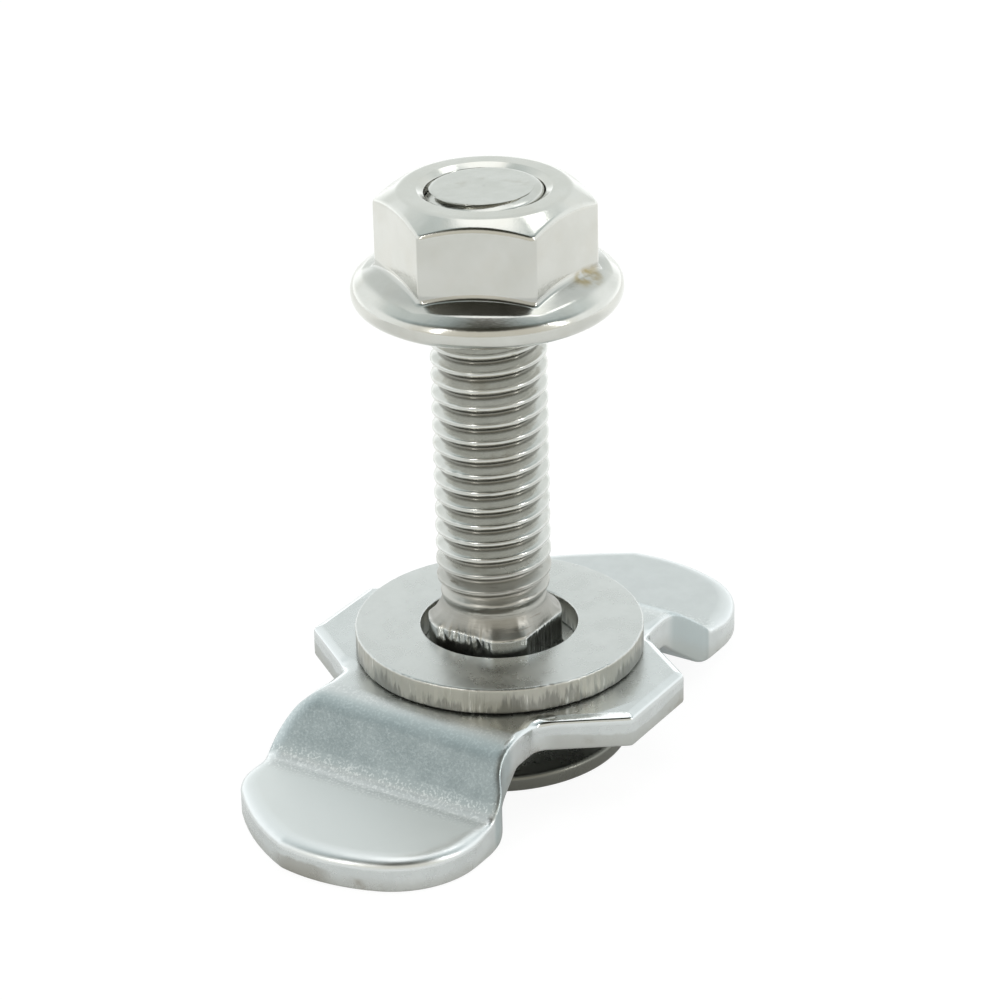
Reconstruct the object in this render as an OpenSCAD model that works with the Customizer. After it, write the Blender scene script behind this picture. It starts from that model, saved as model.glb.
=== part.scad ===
// Track stud: a threaded stud with a round head and a keyed neck. A joggled
// locking plate and a loose flat washer sit on the neck, and a flange nut is
// run up to the end of the thread.
// Millimetres, +Z up the stud, +X along the plate. The origin is the middle of
// the underside of the head, in the plane that the head and both tabs stand on.

/* [Stud] */
// Overall length, from the underside of the head to the end
stud_len = 40.6; // [34:0.1:60]
// Outside diameter of the thread
thread_d = 7.9; // [6:0.1:10]
// Pitch of the thread, from ridge to ridge
thread_pitch = 1.25; // [1:0.05:2]
// Depth of the thread
thread_depth = 0.65; // [0.3:0.05:0.8]
// Chamfer at the end of the thread
end_chamfer = 0.5; // [0.2:0.1:1]
// Diameter of the round head
head_d = 18.5; // [14:0.1:22]
// Thickness of the round head
head_t = 1.2; // [0.8:0.1:3]
// Rounding of the edges of the head
head_edge = 0.3; // [0.1:0.05:0.35]
// How much wider the neck is across its flats than the thread
neck_step = 0.1; // [0.1:0.05:1]
// How much wider the neck is over its round corners than across its flats
neck_corner = 1.2; // [0.6:0.1:2]
// Height of the neck above the head
neck_len = 8; // [5:0.1:12]
// Width of the ledge round the foot of the shoulder
neck_ledge = 0.05; // [0.02:0.01:0.1]
// Height of the sloping shoulder between the neck and the plain shank
shoulder_h = 1.3; // [0.5:0.1:3]
// How much thinner the plain shank is than the thread
shank_under = 0.8; // [0.3:0.1:1.5]
// Height over which the thread runs out to the plain shank
runout_h = 1.6; // [0.5:0.1:4]

/* [Locking plate] */
// Thickness of the sheet
plate_t = 2.4; // [1.5:0.1:3]
// Length over both tabs
plate_len = 46.8; // [42:0.1:56]
// Width over both ears
plate_w = 26; // [23:0.1:32]
// Length of the outer edge of each ear
ear_len = 7; // [4:0.1:9]
// Slant of the sides of the ears to the length of the plate, in degrees
ear_angle = 54; // [48:1:75]
// Width of each tab
tab_w = 18; // [15:0.1:21]
// How far the tabs lie off the middle, towards their cut corners
tab_off = 0.15; // [0:0.05:0.6]
// Width of the blunt tip of a tab, up to where its round corner starts
tip_land = 5; // [1:0.1:8]
// How much larger the radius of the tip is than half the width of the tab
tip_flat = 4; // [0.5:0.1:5]
// Distance from the middle of the plate to where the cut corner of a tip starts
cut_at = 2.3; // [1:0.1:4]
// Slant of the cut corner to the length of the plate where it starts, in degrees
cut_angle = 68; // [64:1:75]
// Radius to which the cut corner is bowed out
cut_bow = 17; // [15:0.5:30]
// Rounding where the cut corner meets the side of the tab
cut_r = 4; // [1:0.1:6]
// Length of the straight side of a tab at its round corner
tab_side = 2.5; // [0.5:0.1:4]
// How much narrower the waist between ears and tab is than the tab
waist_under = 2.4; // [1.6:0.1:4]
// Inside rounding where an ear meets the waist
ear_fillet = 1.5; // [0.5:0.1:2.5]
// Rounding on both sides of the step from the waist to a tab
tab_fillet = 2; // [1:0.1:4]
// Gap between the head and the plate, for the lip of the track
lip_gap = 2.6; // [1.5:0.1:6]
// Distance from the middle of the plate to the start of each joggle
joggle_at = 9.5; // [8:0.1:12]
// Slope of each joggle, in degrees
joggle_angle = 45; // [35:1:60]
// Inside radius of the bends
bend_r = 1; // [0.5:0.1:2]
// Clearance of the keyed hole round the neck, on each side
key_clear = 0.2; // [0.05:0.05:0.5]

/* [Flat washer] */
// Outside diameter
washer_d = 20; // [16:0.1:26]
// Thickness
washer_t = 2; // [1:0.1:3]
// How much wider the hole is than the neck
washer_play = 1.7; // [0.5:0.1:3]
// How far the washer has slid over in its play, from 0 to 1
washer_lean = 0.6; // [0:0.1:0.9]
// Rounding of the outer edges
washer_edge = 0.3; // [0.1:0.05:0.45]

/* [Flange nut] */
// Overall height
nut_h = 8; // [6:0.1:12]
// Width across the flats
nut_af = 13; // [12:0.1:16]
// Diameter of the flange
flange_d = 18.2; // [16:0.1:24]
// Radius of the round rim of the flange
rim_r = 0.9; // [0.4:0.1:1.2]
// Slope of the top of the flange, in degrees
flange_angle = 27; // [10:1:35]
// How far the flat top lies in from the flats
top_in = 0.85; // [0.3:0.05:1.5]
// Slope of the chamfer at the top, in degrees
top_angle = 30; // [15:1:45]
// How much wider the countersinks are than the thread
mouth_over = 1; // [0.4:0.1:2]
// Running clearance of the bore round the thread
thread_clear = 0.05; // [0.02:0.01:0.1]
// How far the end of the stud stands out of the nut
end_proud = 0.1; // [0:0.1:12]
// Turn of the nut on the thread, in degrees
nut_turn = -3; // [-30:1:30]

/* [Hidden] */
$fn = 96;
// Overlap that lets a cutting shape run past a face
past = 1;
// Angle between the points of a computed arc, in degrees
arc_step = 6;

// A point at distance r and angle a from point c
function polar(c, r, a) = c + r * [cos(a), sin(a)];
// Points along an arc from angle a to angle b, without its last point
function arc(c, r, a, b) =
    let (n = ceil(abs(b - a) / arc_step)) [for (i = [0 : n - 1]) polar(c, r, a + (b - a) * i / n)];

// Width of the flat crests and roots of the thread, as shares of its pitch
crest_share = 0.24;
root_share = 0.16;

// Heights over the plane that the part stands on
neck_top = head_t + neck_len;
shoulder_top = neck_top + shoulder_h;
joggle_drop = head_t + lip_gap;
plate_top = joggle_drop + plate_t;
nut_base = stud_len - end_proud - nut_h;

// The neck, and the play of the washer on it
neck_af = thread_d + neck_step;
neck_d = neck_af + neck_corner;
shank_d = thread_d - shank_under;
washer_hole = neck_d + washer_play;
washer_shift = washer_lean * washer_play / 2;

// Outline of a tab: a tip arc, a round corner on one side and a cut corner on the other
round_half = tab_w / 2 - tab_off;
cut_half = tab_w / 2 + tab_off;
tip_r = tab_w / 2 + tip_flat;
tip = [plate_len / 2 - tip_r, 0];
corner_y = tip_land / 2;
corner_r = round_half - corner_y;
corner = [tip[0] + sqrt(pow(tip_r - corner_r, 2) - pow(corner_y, 2)), corner_y];
tip_angle = atan2(corner_y, corner[0] - tip[0]);
cut_start = asin(cut_at / tip_r);
cut_point = polar(tip, tip_r, cut_start);
cut_middle = polar(cut_point, -cut_bow, 90 - cut_angle);
cut_end = asin((cut_half - cut_r - cut_middle[1]) / (cut_bow - cut_r));
cut_corner = polar(cut_middle, cut_bow - cut_r, cut_end);

// Waist, and the centres of the roundings at its ends
waist_half = (tab_w - waist_under) / 2;
ear_half = plate_w / 2;
ear_root = ear_len / 2 + (ear_half - waist_half) / tan(ear_angle);
ear_hollow = [ear_root + ear_fillet * tan(ear_angle / 2), waist_half + ear_fillet];
tab_start = corner[0] - tab_side;

// Joggle, seen from the side: a bend down, a slope and a bend back
bend_outer = bend_r + plate_t;
slope_len = (joggle_drop - (bend_r + bend_outer) * (1 - cos(joggle_angle))) / sin(joggle_angle);
joggle_end = joggle_at + (bend_r + bend_outer) * sin(joggle_angle) + slope_len * cos(joggle_angle);
upper_bend = [joggle_at, joggle_drop - bend_r];
lower_bend = [joggle_end, plate_t + bend_r];

// Half section of a round disc with rounded edges
module disc_section(r, t, edge) {
    square([r - edge, t]);
    translate([0, edge]) square([r, t - 2 * edge]);
    for (z = [edge, t - edge])
        translate([r - edge, z]) circle(r = edge);
}

// Outline of the neck, or of the keyed hole that fits it
module neck_outline(clear) {
    intersection() {
        square(neck_af + 2 * clear, center = true);
        circle(d = neck_d + 2 * clear);
    }
}

// Outline from the straight side of a tab, that many millimetres off the middle, to the ear
function side_to_ear(half) =
    let (rise = 2 * tab_fillet - half + waist_half,
         run = sqrt(pow(2 * tab_fillet, 2) - pow(rise, 2)),
         shoulder = [tab_start, half - tab_fillet],
         touch = atan2(rise, -run))
    concat(arc(shoulder, tab_fillet, 90, touch),
           arc(shoulder + [-run, rise], tab_fillet, touch + 180, 270),
           arc(ear_hollow, ear_fillet, 270, 270 - ear_angle),
           [polar(ear_hollow, ear_fillet, 270 - ear_angle), [ear_len / 2, ear_half]]);

// Plate seen from above: two quarters from tip to ear, then their mirror images
module plate_outline() {
    round_quarter = concat(arc(tip, tip_r, 0, tip_angle),
                           arc(corner, corner_r, tip_angle, 90), [polar(corner, corner_r, 90)],
                           side_to_ear(round_half));
    cut_quarter = concat(arc(tip, tip_r, 0, cut_start), arc(cut_middle, cut_bow, 90 - cut_angle, cut_end),
                         arc(cut_corner, cut_r, cut_end, 90), [polar(cut_corner, cut_r, 90)],
                         side_to_ear(cut_half));
    right = concat([for (i = [len(round_quarter) - 1 : -1 : 1]) [round_quarter[i][0], -round_quarter[i][1]]],
                   cut_quarter);
    polygon(concat(right, [for (i = [len(right) - 1 : -1 : 0]) [-right[i][0], right[i][1]]]));
}

// Plate seen from the side: one end with its two bends, then its mirror image
module plate_side() {
    slope = 90 - joggle_angle;
    right = concat(arc(upper_bend, bend_outer, 90, slope),
                   [polar(upper_bend, bend_outer, slope)],
                   arc(lower_bend, bend_r, slope + 180, 270),
                   [[joggle_end, plate_t], [plate_len, plate_t], [plate_len, 0]],
                   arc(lower_bend, bend_outer, 270, slope + 180),
                   [polar(lower_bend, bend_outer, slope + 180)],
                   arc(upper_bend, bend_r, slope, 90),
                   [[joggle_at, joggle_drop]]);
    polygon(concat(right, [for (i = [len(right) - 1 : -1 : 0]) [-right[i][0], right[i][1]]]));
}

// Radii of the crests and the roots of the thread, which fade into the plain shank at its lower end
function crest_r(z) = min(thread_d / 2, shank_d / 2 + (z - shoulder_top) * shank_under / 2 / runout_h);
function root_r(z) = max(thread_d / 2 - thread_depth, shank_d / 2 - (z - shoulder_top) * thread_depth / 2 / runout_h);

// Half section of the shank and its thread, with each turn drawn as a ring
module shank_section() {
    crest_w = crest_share * thread_pitch;
    flank_h = (1 - root_share) * thread_pitch / 2;
    top_crest = stud_len - end_chamfer - crest_w / 2;
    rings = floor((top_crest - flank_h - shoulder_top) / thread_pitch);
    ridges = [for (i = [rings : -1 : 0])
        let (z = top_crest - i * thread_pitch)
        each [[root_r(z - flank_h), z - flank_h], [crest_r(z - crest_w / 2), z - crest_w / 2],
              [crest_r(z + crest_w / 2), z + crest_w / 2],
              if (i > 0) [root_r(z + flank_h), z + flank_h]]];
    polygon(concat([[0, head_t], [shank_d / 2, head_t], [shank_d / 2, shoulder_top]], ridges,
                   [[thread_d / 2 - end_chamfer, stud_len], [0, stud_len]]));
}

// Round head, keyed neck, shoulder that slopes to the plain shank, and threaded shank
module stud() {
    color("silver") {
        rotate_extrude() disc_section(head_d / 2, head_t, head_edge);
        translate([0, 0, head_t / 2]) linear_extrude(neck_top - head_t / 2) neck_outline(0);
        translate([0, 0, neck_top])
            intersection() {
                cylinder(d1 = neck_d - 2 * neck_ledge, d2 = shank_d, h = shoulder_h);
                rotate(45)
                    cylinder(d1 = (neck_af - 2 * neck_ledge) * sqrt(2), d2 = (shank_d + neck_step) * sqrt(2),
                             h = shoulder_h, $fn = 4);
            }
        rotate_extrude() shank_section();
    }
}

// Blanked sheet with two ears, two tabs joggled down to the head's underside, and a keyed hole
module locking_plate() {
    color("gainsboro")
        difference() {
            intersection() {
                translate([0, 0, -past]) linear_extrude(plate_top + 2 * past) plate_outline();
                translate([0, plate_w, 0]) rotate([90, 0, 0]) linear_extrude(2 * plate_w) plate_side();
            }
            translate([0, 0, -past]) linear_extrude(plate_top + 2 * past) neck_outline(key_clear);
        }
}

// Loose washer lying on the plate, slid over in its play
module flat_washer() {
    color("lightgray")
        translate([washer_shift, 0, plate_top])
            difference() {
                rotate_extrude() disc_section(washer_d / 2, washer_t, washer_edge);
                translate([0, 0, -past]) cylinder(d = washer_hole, h = washer_t + 2 * past);
            }
}

// Half section of the flange: a round rim and a cone that rises from it
module flange_section() {
    rim = [flange_d / 2 - rim_r, rim_r];
    start = polar(rim, rim_r, 90 - flange_angle);
    translate(rim) circle(r = rim_r);
    polygon([[0, 0], [rim[0], 0], rim, start, [0, start[1] + start[0] * tan(flange_angle)]]);
}

// Countersink at one mouth of the bore, widening upwards to the face at height 0
module countersink() {
    bore_d = thread_d + 2 * thread_clear;
    mouth_d = thread_d + mouth_over;
    depth = (mouth_d - bore_d) / 2;
    translate([0, 0, -depth]) cylinder(d1 = bore_d, d2 = mouth_d, h = depth);
    cylinder(d = mouth_d, h = past);
}

// Hexagon nut with a chamfered top and a wide round flange
module flange_nut() {
    hex_r = nut_af / 2 / cos(30);
    flat_r = nut_af / 2 - top_in;
    color("whitesmoke")
        translate([0, 0, nut_base]) rotate(nut_turn)
            difference() {
                union() {
                    rotate_extrude() flange_section();
                    intersection() {
                        translate([0, 0, rim_r]) cylinder(r = hex_r, h = nut_h - rim_r, $fn = 6);
                        rotate_extrude()
                            polygon([[0, 0], [2 * hex_r, 0],
                                     [2 * hex_r, nut_h - (2 * hex_r - flat_r) * tan(top_angle)],
                                     [flat_r, nut_h], [0, nut_h]]);
                    }
                }
                translate([0, 0, -past]) cylinder(d = thread_d + 2 * thread_clear, h = nut_h + 2 * past);
                translate([0, 0, nut_h]) countersink();
                mirror([0, 0, 1]) countersink();
            }
}

stud();
locking_plate();
flat_washer();
flange_nut();
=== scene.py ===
# %% [markdown]
# # A threaded stud with its locking plate
# The object is a small clamp for a slotted track: a stud with a wide head, a pressed plate that keys
# onto the stud's square neck, a loose washer and a flange nut. All of it is bright plated steel, so the
# lesson is mostly about two things: edges that are rounded as real ones are, and something worth
# reflecting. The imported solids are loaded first. They give the frame, the bodies that move and the
# overall sizes.

# %% Load the frame
import math
import bmesh
import bpy
from mathutils import Matrix, Vector, noise
from mathutils.geometry import delaunay_2d_cdt


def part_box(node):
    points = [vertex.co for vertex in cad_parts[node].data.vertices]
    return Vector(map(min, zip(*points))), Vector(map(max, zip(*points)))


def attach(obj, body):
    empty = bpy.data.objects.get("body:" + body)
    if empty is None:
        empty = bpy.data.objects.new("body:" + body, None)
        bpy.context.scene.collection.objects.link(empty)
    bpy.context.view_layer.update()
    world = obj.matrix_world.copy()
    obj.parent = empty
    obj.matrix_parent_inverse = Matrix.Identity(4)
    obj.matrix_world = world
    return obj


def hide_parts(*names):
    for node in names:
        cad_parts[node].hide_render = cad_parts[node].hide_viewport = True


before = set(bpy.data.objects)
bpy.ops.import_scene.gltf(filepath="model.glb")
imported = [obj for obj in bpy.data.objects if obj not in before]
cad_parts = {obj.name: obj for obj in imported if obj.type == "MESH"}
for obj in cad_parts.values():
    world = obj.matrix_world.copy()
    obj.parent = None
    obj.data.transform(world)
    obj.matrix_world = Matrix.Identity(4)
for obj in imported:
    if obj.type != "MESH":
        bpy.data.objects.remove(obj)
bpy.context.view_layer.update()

MM = 0.001

# %% [markdown]
# ## The camera
# The photograph was taken with a long lens from in front of one tab, a good two hundred millimetres
# away and about 26 degrees above the table. The camera could be given by its angles, but a place, a
# point to look at and a small roll are easier to correct by eye, and they stay true when the lens
# changes.

# %% Camera
CAMERA_PLACE = Vector((-192.8, -124.2, 130.0)) * MM
CAMERA_TARGET = Vector((0.283, -0.442, 17.635)) * MM
CAMERA_ROLL = math.radians(-1.38)
CAMERA_LENS = 135.2
SENSOR_WIDTH = 36
CLIP_START = 0.01

camera_data = bpy.data.cameras.new("camera")
camera_data.lens = CAMERA_LENS
camera_data.sensor_width = SENSOR_WIDTH
camera_data.clip_start = CLIP_START
camera = bpy.data.objects.new("camera", camera_data)
aim = (CAMERA_TARGET - CAMERA_PLACE).to_track_quat("-Z", "Y").to_matrix().to_4x4()
camera.matrix_world = Matrix.Translation(CAMERA_PLACE) @ aim @ Matrix.Rotation(CAMERA_ROLL, 4, "Z")
bpy.context.scene.collection.objects.link(camera)
bpy.context.scene.camera = camera
TOWARDS_CAMERA = (CAMERA_PLACE - CAMERA_TARGET).to_2d().normalized()
print("camera", round((CAMERA_PLACE - CAMERA_TARGET).length / MM), "mm from its target")

# %% [markdown]
# ## The room that the steel reflects
# Polished metal has hardly any colour of its own: it shows the studio. In a light tent the walls low
# down are pale and a bright panel hangs overhead. Between them the camera's side is nearly black, the
# sides are slate and the back is light. A photograph of a studio could give this, but a gradient over
# the direction of the view is lighter and can be adjusted: the height picks low, middle or overhead,
# and the bearing picks the grey of the middle. Straight views of the background stay plain white.

# %% World
def add(tree, kind, **values):
    """A new node of that kind in the tree, with its settings and its inputs' values."""
    node = tree.nodes.new(kind)
    for name, value in values.items():
        if hasattr(node, name):
            setattr(node, name, value)
        else:
            node.inputs[name.replace("_", " ")].default_value = value
    return node


def feed(tree, socket, value):
    """Links another socket to an input, or sets the input to a fixed value; None leaves it as it is."""
    if isinstance(value, bpy.types.NodeSocket):
        tree.links.new(value, socket)
    elif value is not None:
        socket.default_value = value


def math_node(tree, operation, a, b=None, clamp=False):
    """A math node on sockets or numbers; returns its result."""
    node = add(tree, "ShaderNodeMath", operation=operation, use_clamp=clamp)
    feed(tree, node.inputs[0], a)
    feed(tree, node.inputs[1], b)
    return node.outputs[0]


def times(tree, a, b):
    """The product of two sockets or numbers."""
    return math_node(tree, "MULTIPLY", a, b)


def plus(tree, a, b):
    """The sum of two sockets or numbers."""
    return math_node(tree, "ADD", a, b)


def split_place(tree, vector):
    """A node that puts out the three coordinates of a vector socket."""
    node = add(tree, "ShaderNodeSeparateXYZ")
    tree.links.new(vector, node.inputs[0])
    return node


def map_range(tree, value, low, high, to_low=0.0, to_high=1.0, smooth=True):
    """Maps a value from one range to another, held at both ends; each may be a socket or a number."""
    node = add(tree, "ShaderNodeMapRange", interpolation_type="SMOOTHSTEP" if smooth else "LINEAR")
    names = ("Value", "From Min", "From Max", "To Min", "To Max")
    for name, given in zip(names, (value, low, high, to_low, to_high)):
        feed(tree, node.inputs[name], given)
    return node.outputs["Result"]


def ramp(tree, value, stops):
    """A colour ramp with stops of (place, colour)."""
    node = add(tree, "ShaderNodeValToRGB")
    elements = node.color_ramp.elements
    while len(elements) < len(stops):
        elements.new(1.0)
    for element, (place, colour) in zip(elements, stops):
        element.position = place
        element.color = (*colour, 1.0)
    tree.links.new(value, node.inputs["Fac"])
    return node.outputs["Color"]


def mix_colour(tree, factor, a, b):
    """Mixes two colours by a factor; each may be a socket or a fixed value."""
    node = add(tree, "ShaderNodeMix", data_type="RGBA")
    for socket, value in zip((node.inputs[0], node.inputs[6], node.inputs[7]), (factor, a, b)):
        feed(tree, socket, (*value, 1.0) if isinstance(value, tuple) else value)
    return node.outputs[2]


def end_tree(tree, kind, reflected, seen):
    """Ends a tree with one shader for straight views and another for all that is reflected."""
    choice = add(tree, "ShaderNodeMixShader")
    is_seen = add(tree, "ShaderNodeLightPath").outputs["Is Camera Ray"]
    for socket, value in zip(choice.inputs, (is_seen, reflected, seen)):
        tree.links.new(value, socket)
    tree.links.new(choice.outputs[0], add(tree, kind).inputs["Surface"])


LOW_BACK = (0.97, 1.02, 1.01)
LOW_SIDE = (1.22, 1.27, 1.28)
LOW_FRONT = (0.80, 0.78, 0.70)
HORIZON = (1.55, 1.60, 1.62)
MID_ROUND = (
    (0.00, (0.96, 1.01, 1.01)),
    (0.15, (0.92, 0.98, 0.98)),
    (0.30, (0.80, 0.88, 0.89)),
    (0.55, (0.38, 0.45, 0.46)),
    (0.82, (0.10, 0.10, 0.08)),
    (1.00, (0.04, 0.04, 0.03)),
)
MID_LEFT_BACK = (0.72, 0.79, 0.79)
OVERHEAD = (1.62, 1.65, 1.65)
OVERHEAD_RISE = math.radians(77)
OVERHEAD_EDGE = (math.cos(math.radians(18)), math.cos(math.radians(11)))
BACKGROUND = (1.0, 1.0, 1.0)
FRONT_LIFT = 0.1
LEVEL_GUARD = 1.001
SIDE_SPAN = (0.30, 0.75)
FRONT_SPAN = (0.0, 0.8)
LIFT_SPAN = (0.1, 0.8)
BACK_SPAN = (-0.25, -0.65)
LEFT_SPAN = (-0.45, -0.75)
LEFT_BACK_SPAN = (-0.1, -0.4)
HORIZON_RISE = (16, 3)
LEFT_BACK_RISE = (48, 56)
MID_RISE = (30, 44)


def degrees_up(values):
    """Elevations in degrees as the shares of a right angle that the nodes use."""
    return [value / 90 for value in values]


world = bpy.data.worlds.new("light_tent")
bpy.context.scene.world = world
world.use_nodes = True
sky = world.node_tree
sky.nodes.clear()
axes = split_place(sky, add(sky, "ShaderNodeTexCoord").outputs["Generated"])
height = math_node(sky, "DIVIDE", math_node(sky, "ARCSINE", axes.outputs["Z"]), math.pi / 2)
level = math_node(sky, "SUBTRACT", LEVEL_GUARD, math_node(sky, "POWER", axes.outputs["Z"], 2.0))
level = math_node(sky, "SQRT", level)


def dot(tree, spot, direction):
    """How far a point's three coordinates reach along a direction."""
    reach = times(tree, spot.outputs["X"], direction[0])
    for axis, share in zip("YZ", direction[1:]):
        reach = plus(tree, reach, times(tree, spot.outputs[axis], share))
    return reach


rightwards = Vector((-TOWARDS_CAMERA.y, TOWARDS_CAMERA.x))
facing = math_node(sky, "DIVIDE", dot(sky, axes, (*TOWARDS_CAMERA, 0.0)), level)
rightward = math_node(sky, "DIVIDE", dot(sky, axes, (*rightwards, 0.0)), level)
back_panel = (*(-TOWARDS_CAMERA * math.cos(OVERHEAD_RISE)), math.sin(OVERHEAD_RISE))
overhead = map_range(sky, dot(sky, axes, back_panel), *OVERHEAD_EDGE)
sideways = map_range(sky, math_node(sky, "ABSOLUTE", rightward), *SIDE_SPAN)
low = mix_colour(sky, sideways, LOW_BACK, LOW_SIDE)
low = mix_colour(sky, map_range(sky, facing, *FRONT_SPAN), low, LOW_FRONT)
at_back = map_range(sky, facing, *BACK_SPAN)
horizon = times(sky, at_back, map_range(sky, height, *degrees_up(HORIZON_RISE)))
low = mix_colour(sky, horizon, low, HORIZON)
mid = ramp(sky, map_range(sky, facing, -1.0, 1.0, smooth=False), MID_ROUND)
left_back = times(sky, map_range(sky, rightward, *LEFT_SPAN), map_range(sky, facing, *LEFT_BACK_SPAN))
left_back = times(sky, left_back, map_range(sky, height, *degrees_up(LEFT_BACK_RISE)))
mid = mix_colour(sky, left_back, mid, MID_LEFT_BACK)
lifted = math_node(sky, "SUBTRACT", height, map_range(sky, facing, *LIFT_SPAN, 0.0, FRONT_LIFT))
tent_colour = mix_colour(sky, map_range(sky, lifted, *degrees_up(MID_RISE)), low, mid)
tent_colour = mix_colour(sky, overhead, tent_colour, OVERHEAD)
tent = add(sky, "ShaderNodeBackground")
sky.links.new(tent_colour, tent.inputs["Color"])
plain = add(sky, "ShaderNodeBackground", Color=(*BACKGROUND, 1.0))
end_tree(sky, "ShaderNodeOutputWorld", tent.outputs[0], plain.outputs[0])
bpy.context.scene.view_settings.view_transform = "Standard"
print("world with", len(sky.nodes), "nodes")

# %% [markdown]
# ## Floor and lamps
# The table is white paper. It gives the lower halves of all the round edges something to reflect and
# takes a faint shadow where the part touches it. Seen directly most of its light is its own, so the
# shadow stays as faint as on a retouched picture; in reflections it is ordinary paper that the part
# really shades, which keeps the low edges dark. Two tall lamps make the glints on the crests of the
# thread and a third one hangs behind on the right.

# %% Floor
FLOOR_HALF = 1.5
FRONT_GLOW = 0.20
BACK_GLOW = 0.48
BACK_GLOW_FROM = 0.0
BACK_GLOW_TO = 0.05
REFLECTED_SHADE = 0.80
SEEN_SHADE = 0.16
SEEN_GLOW = 0.90
floor_mesh = bpy.data.meshes.new("floor")
floor_corners = [(x, y, 0.0) for x, y in ((-1, -1), (1, -1), (1, 1), (-1, 1))]
floor_mesh.from_pydata([Vector(c) * FLOOR_HALF for c in floor_corners], [], [(0, 1, 2, 3)])
floor = bpy.data.objects.new("floor", floor_mesh)
bpy.context.scene.collection.objects.link(floor)
paper = bpy.data.materials.new("white_paper")
paper.use_nodes = True
paper.node_tree.nodes.clear()


def paper_shader(shade, glow):
    """Matt paper of that grey that also gives off some light; the glow may be a socket."""
    tree = paper.node_tree
    matt = add(tree, "ShaderNodeBsdfDiffuse", Color=(shade, shade, shade, 1.0))
    light = add(tree, "ShaderNodeEmission", Color=(1.0, 1.0, 1.0, 1.0))
    feed(tree, light.inputs["Strength"], glow)
    both = add(tree, "ShaderNodeAddShader")
    tree.links.new(matt.outputs[0], both.inputs[0])
    tree.links.new(light.outputs[0], both.inputs[1])
    return both.outputs[0]


sheet = paper.node_tree
paper_spot = split_place(sheet, add(sheet, "ShaderNodeTexCoord").outputs["Object"])
behind = dot(sheet, paper_spot, (*-TOWARDS_CAMERA, 0.0))
back_glow = map_range(sheet, behind, BACK_GLOW_FROM, BACK_GLOW_TO, FRONT_GLOW, BACK_GLOW)
end_tree(sheet, "ShaderNodeOutputMaterial", paper_shader(REFLECTED_SHADE, back_glow),
         paper_shader(SEEN_SHADE, SEEN_GLOW))
floor_mesh.materials.append(paper)

# %% Lamps
LAMP_DISTANCE = 0.6


def lamp(name, side, rise, width, height, brightness):
    """A rectangular lamp, side degrees to the right of the camera and rise degrees up, facing the part."""
    flat = Matrix.Rotation(math.radians(side), 2) @ TOWARDS_CAMERA
    up = math.radians(rise)
    towards = Vector((flat.x * math.cos(up), flat.y * math.cos(up), math.sin(up)))
    data = bpy.data.lights.new(name, "AREA")
    data.shape = "RECTANGLE"
    data.size = width
    data.size_y = height
    data.energy = brightness * math.pi * width * height
    thing = bpy.data.objects.new(name, data)
    thing.location = CAMERA_TARGET + towards * LAMP_DISTANCE
    thing.rotation_euler = towards.to_track_quat("Z", "Y").to_euler()
    thing.visible_camera = False
    bpy.context.scene.collection.objects.link(thing)


LAMPS = {
    "left_lamp": (-44, 30, 0.035, 0.40, 9.0),
    "right_lamp": (64, 30, 0.035, 0.40, 9.0),
    "back_lamp": (133, 60, 0.13, 0.13, 1.5),
}
for lamp_name, lamp_values in LAMPS.items():
    lamp(lamp_name, *lamp_values)
print("floor and", len(LAMPS), "lamps")

# %% [markdown]
# ## Finishes that several pieces share
# All four pieces went through the same plating barrel, so they share three effects. Tumbling leaves
# tiny dents, drawing and broaching leave fine lines in one direction, and handling leaves dull stains.
# Each effect is a node group with named inputs, made once; every material then sets its own scale and
# strength.

# %% Node group for tumbled grain
def new_group(name, inputs, outputs):
    """A shader node group with its named sockets; returns the tree and its two end nodes."""
    tree = bpy.data.node_groups.new(name, "ShaderNodeTree")
    for socket, kind, value in inputs:
        made = tree.interface.new_socket(socket, in_out="INPUT", socket_type=kind)
        if value is not None:
            made.default_value = value
    for socket, kind in outputs:
        tree.interface.new_socket(socket, in_out="OUTPUT", socket_type=kind)
    return tree, tree.nodes.new("NodeGroupInput"), tree.nodes.new("NodeGroupOutput")


def noise_texture(tree, vector, scale, detail=2.0, roughness=0.5):
    """Noise on a vector socket; the scale may be a socket or a number."""
    node = add(tree, "ShaderNodeTexNoise", Detail=detail, Roughness=roughness)
    tree.links.new(vector, node.inputs["Vector"])
    feed(tree, node.inputs["Scale"], scale)
    return node.outputs["Fac"]


VECTOR = "NodeSocketVector"
NUMBER = "NodeSocketFloat"
grain_group, ends_in, ends_out = new_group(
    "tumbled_grain", [("Vector", VECTOR, None), ("Scale", NUMBER, 1500.0), ("Dents", NUMBER, 0.5)],
    [("Height", NUMBER), ("Cloud", NUMBER)])
fine = noise_texture(grain_group, ends_in.outputs["Vector"], ends_in.outputs["Scale"], 3.0, 0.6)
cells = add(grain_group, "ShaderNodeTexVoronoi", feature="F1")
grain_group.links.new(ends_in.outputs["Vector"], cells.inputs["Vector"])
grain_group.links.new(ends_in.outputs["Scale"], cells.inputs["Scale"])
hollows = map_range(grain_group, cells.outputs["Distance"], 0.0, 0.45, -1.0, 0.0)
dents = times(grain_group, hollows, ends_in.outputs["Dents"])
grain_group.links.new(plus(grain_group, fine, dents), ends_out.inputs["Height"])
cloud_scale = times(grain_group, ends_in.outputs["Scale"], 0.12)
cloud = noise_texture(grain_group, ends_in.outputs["Vector"], cloud_scale, 4.0, 0.6)
grain_group.links.new(map_range(grain_group, cloud, 0.3, 0.7), ends_out.inputs["Cloud"])
print("tumbled_grain has", len(grain_group.nodes), "nodes")

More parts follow.
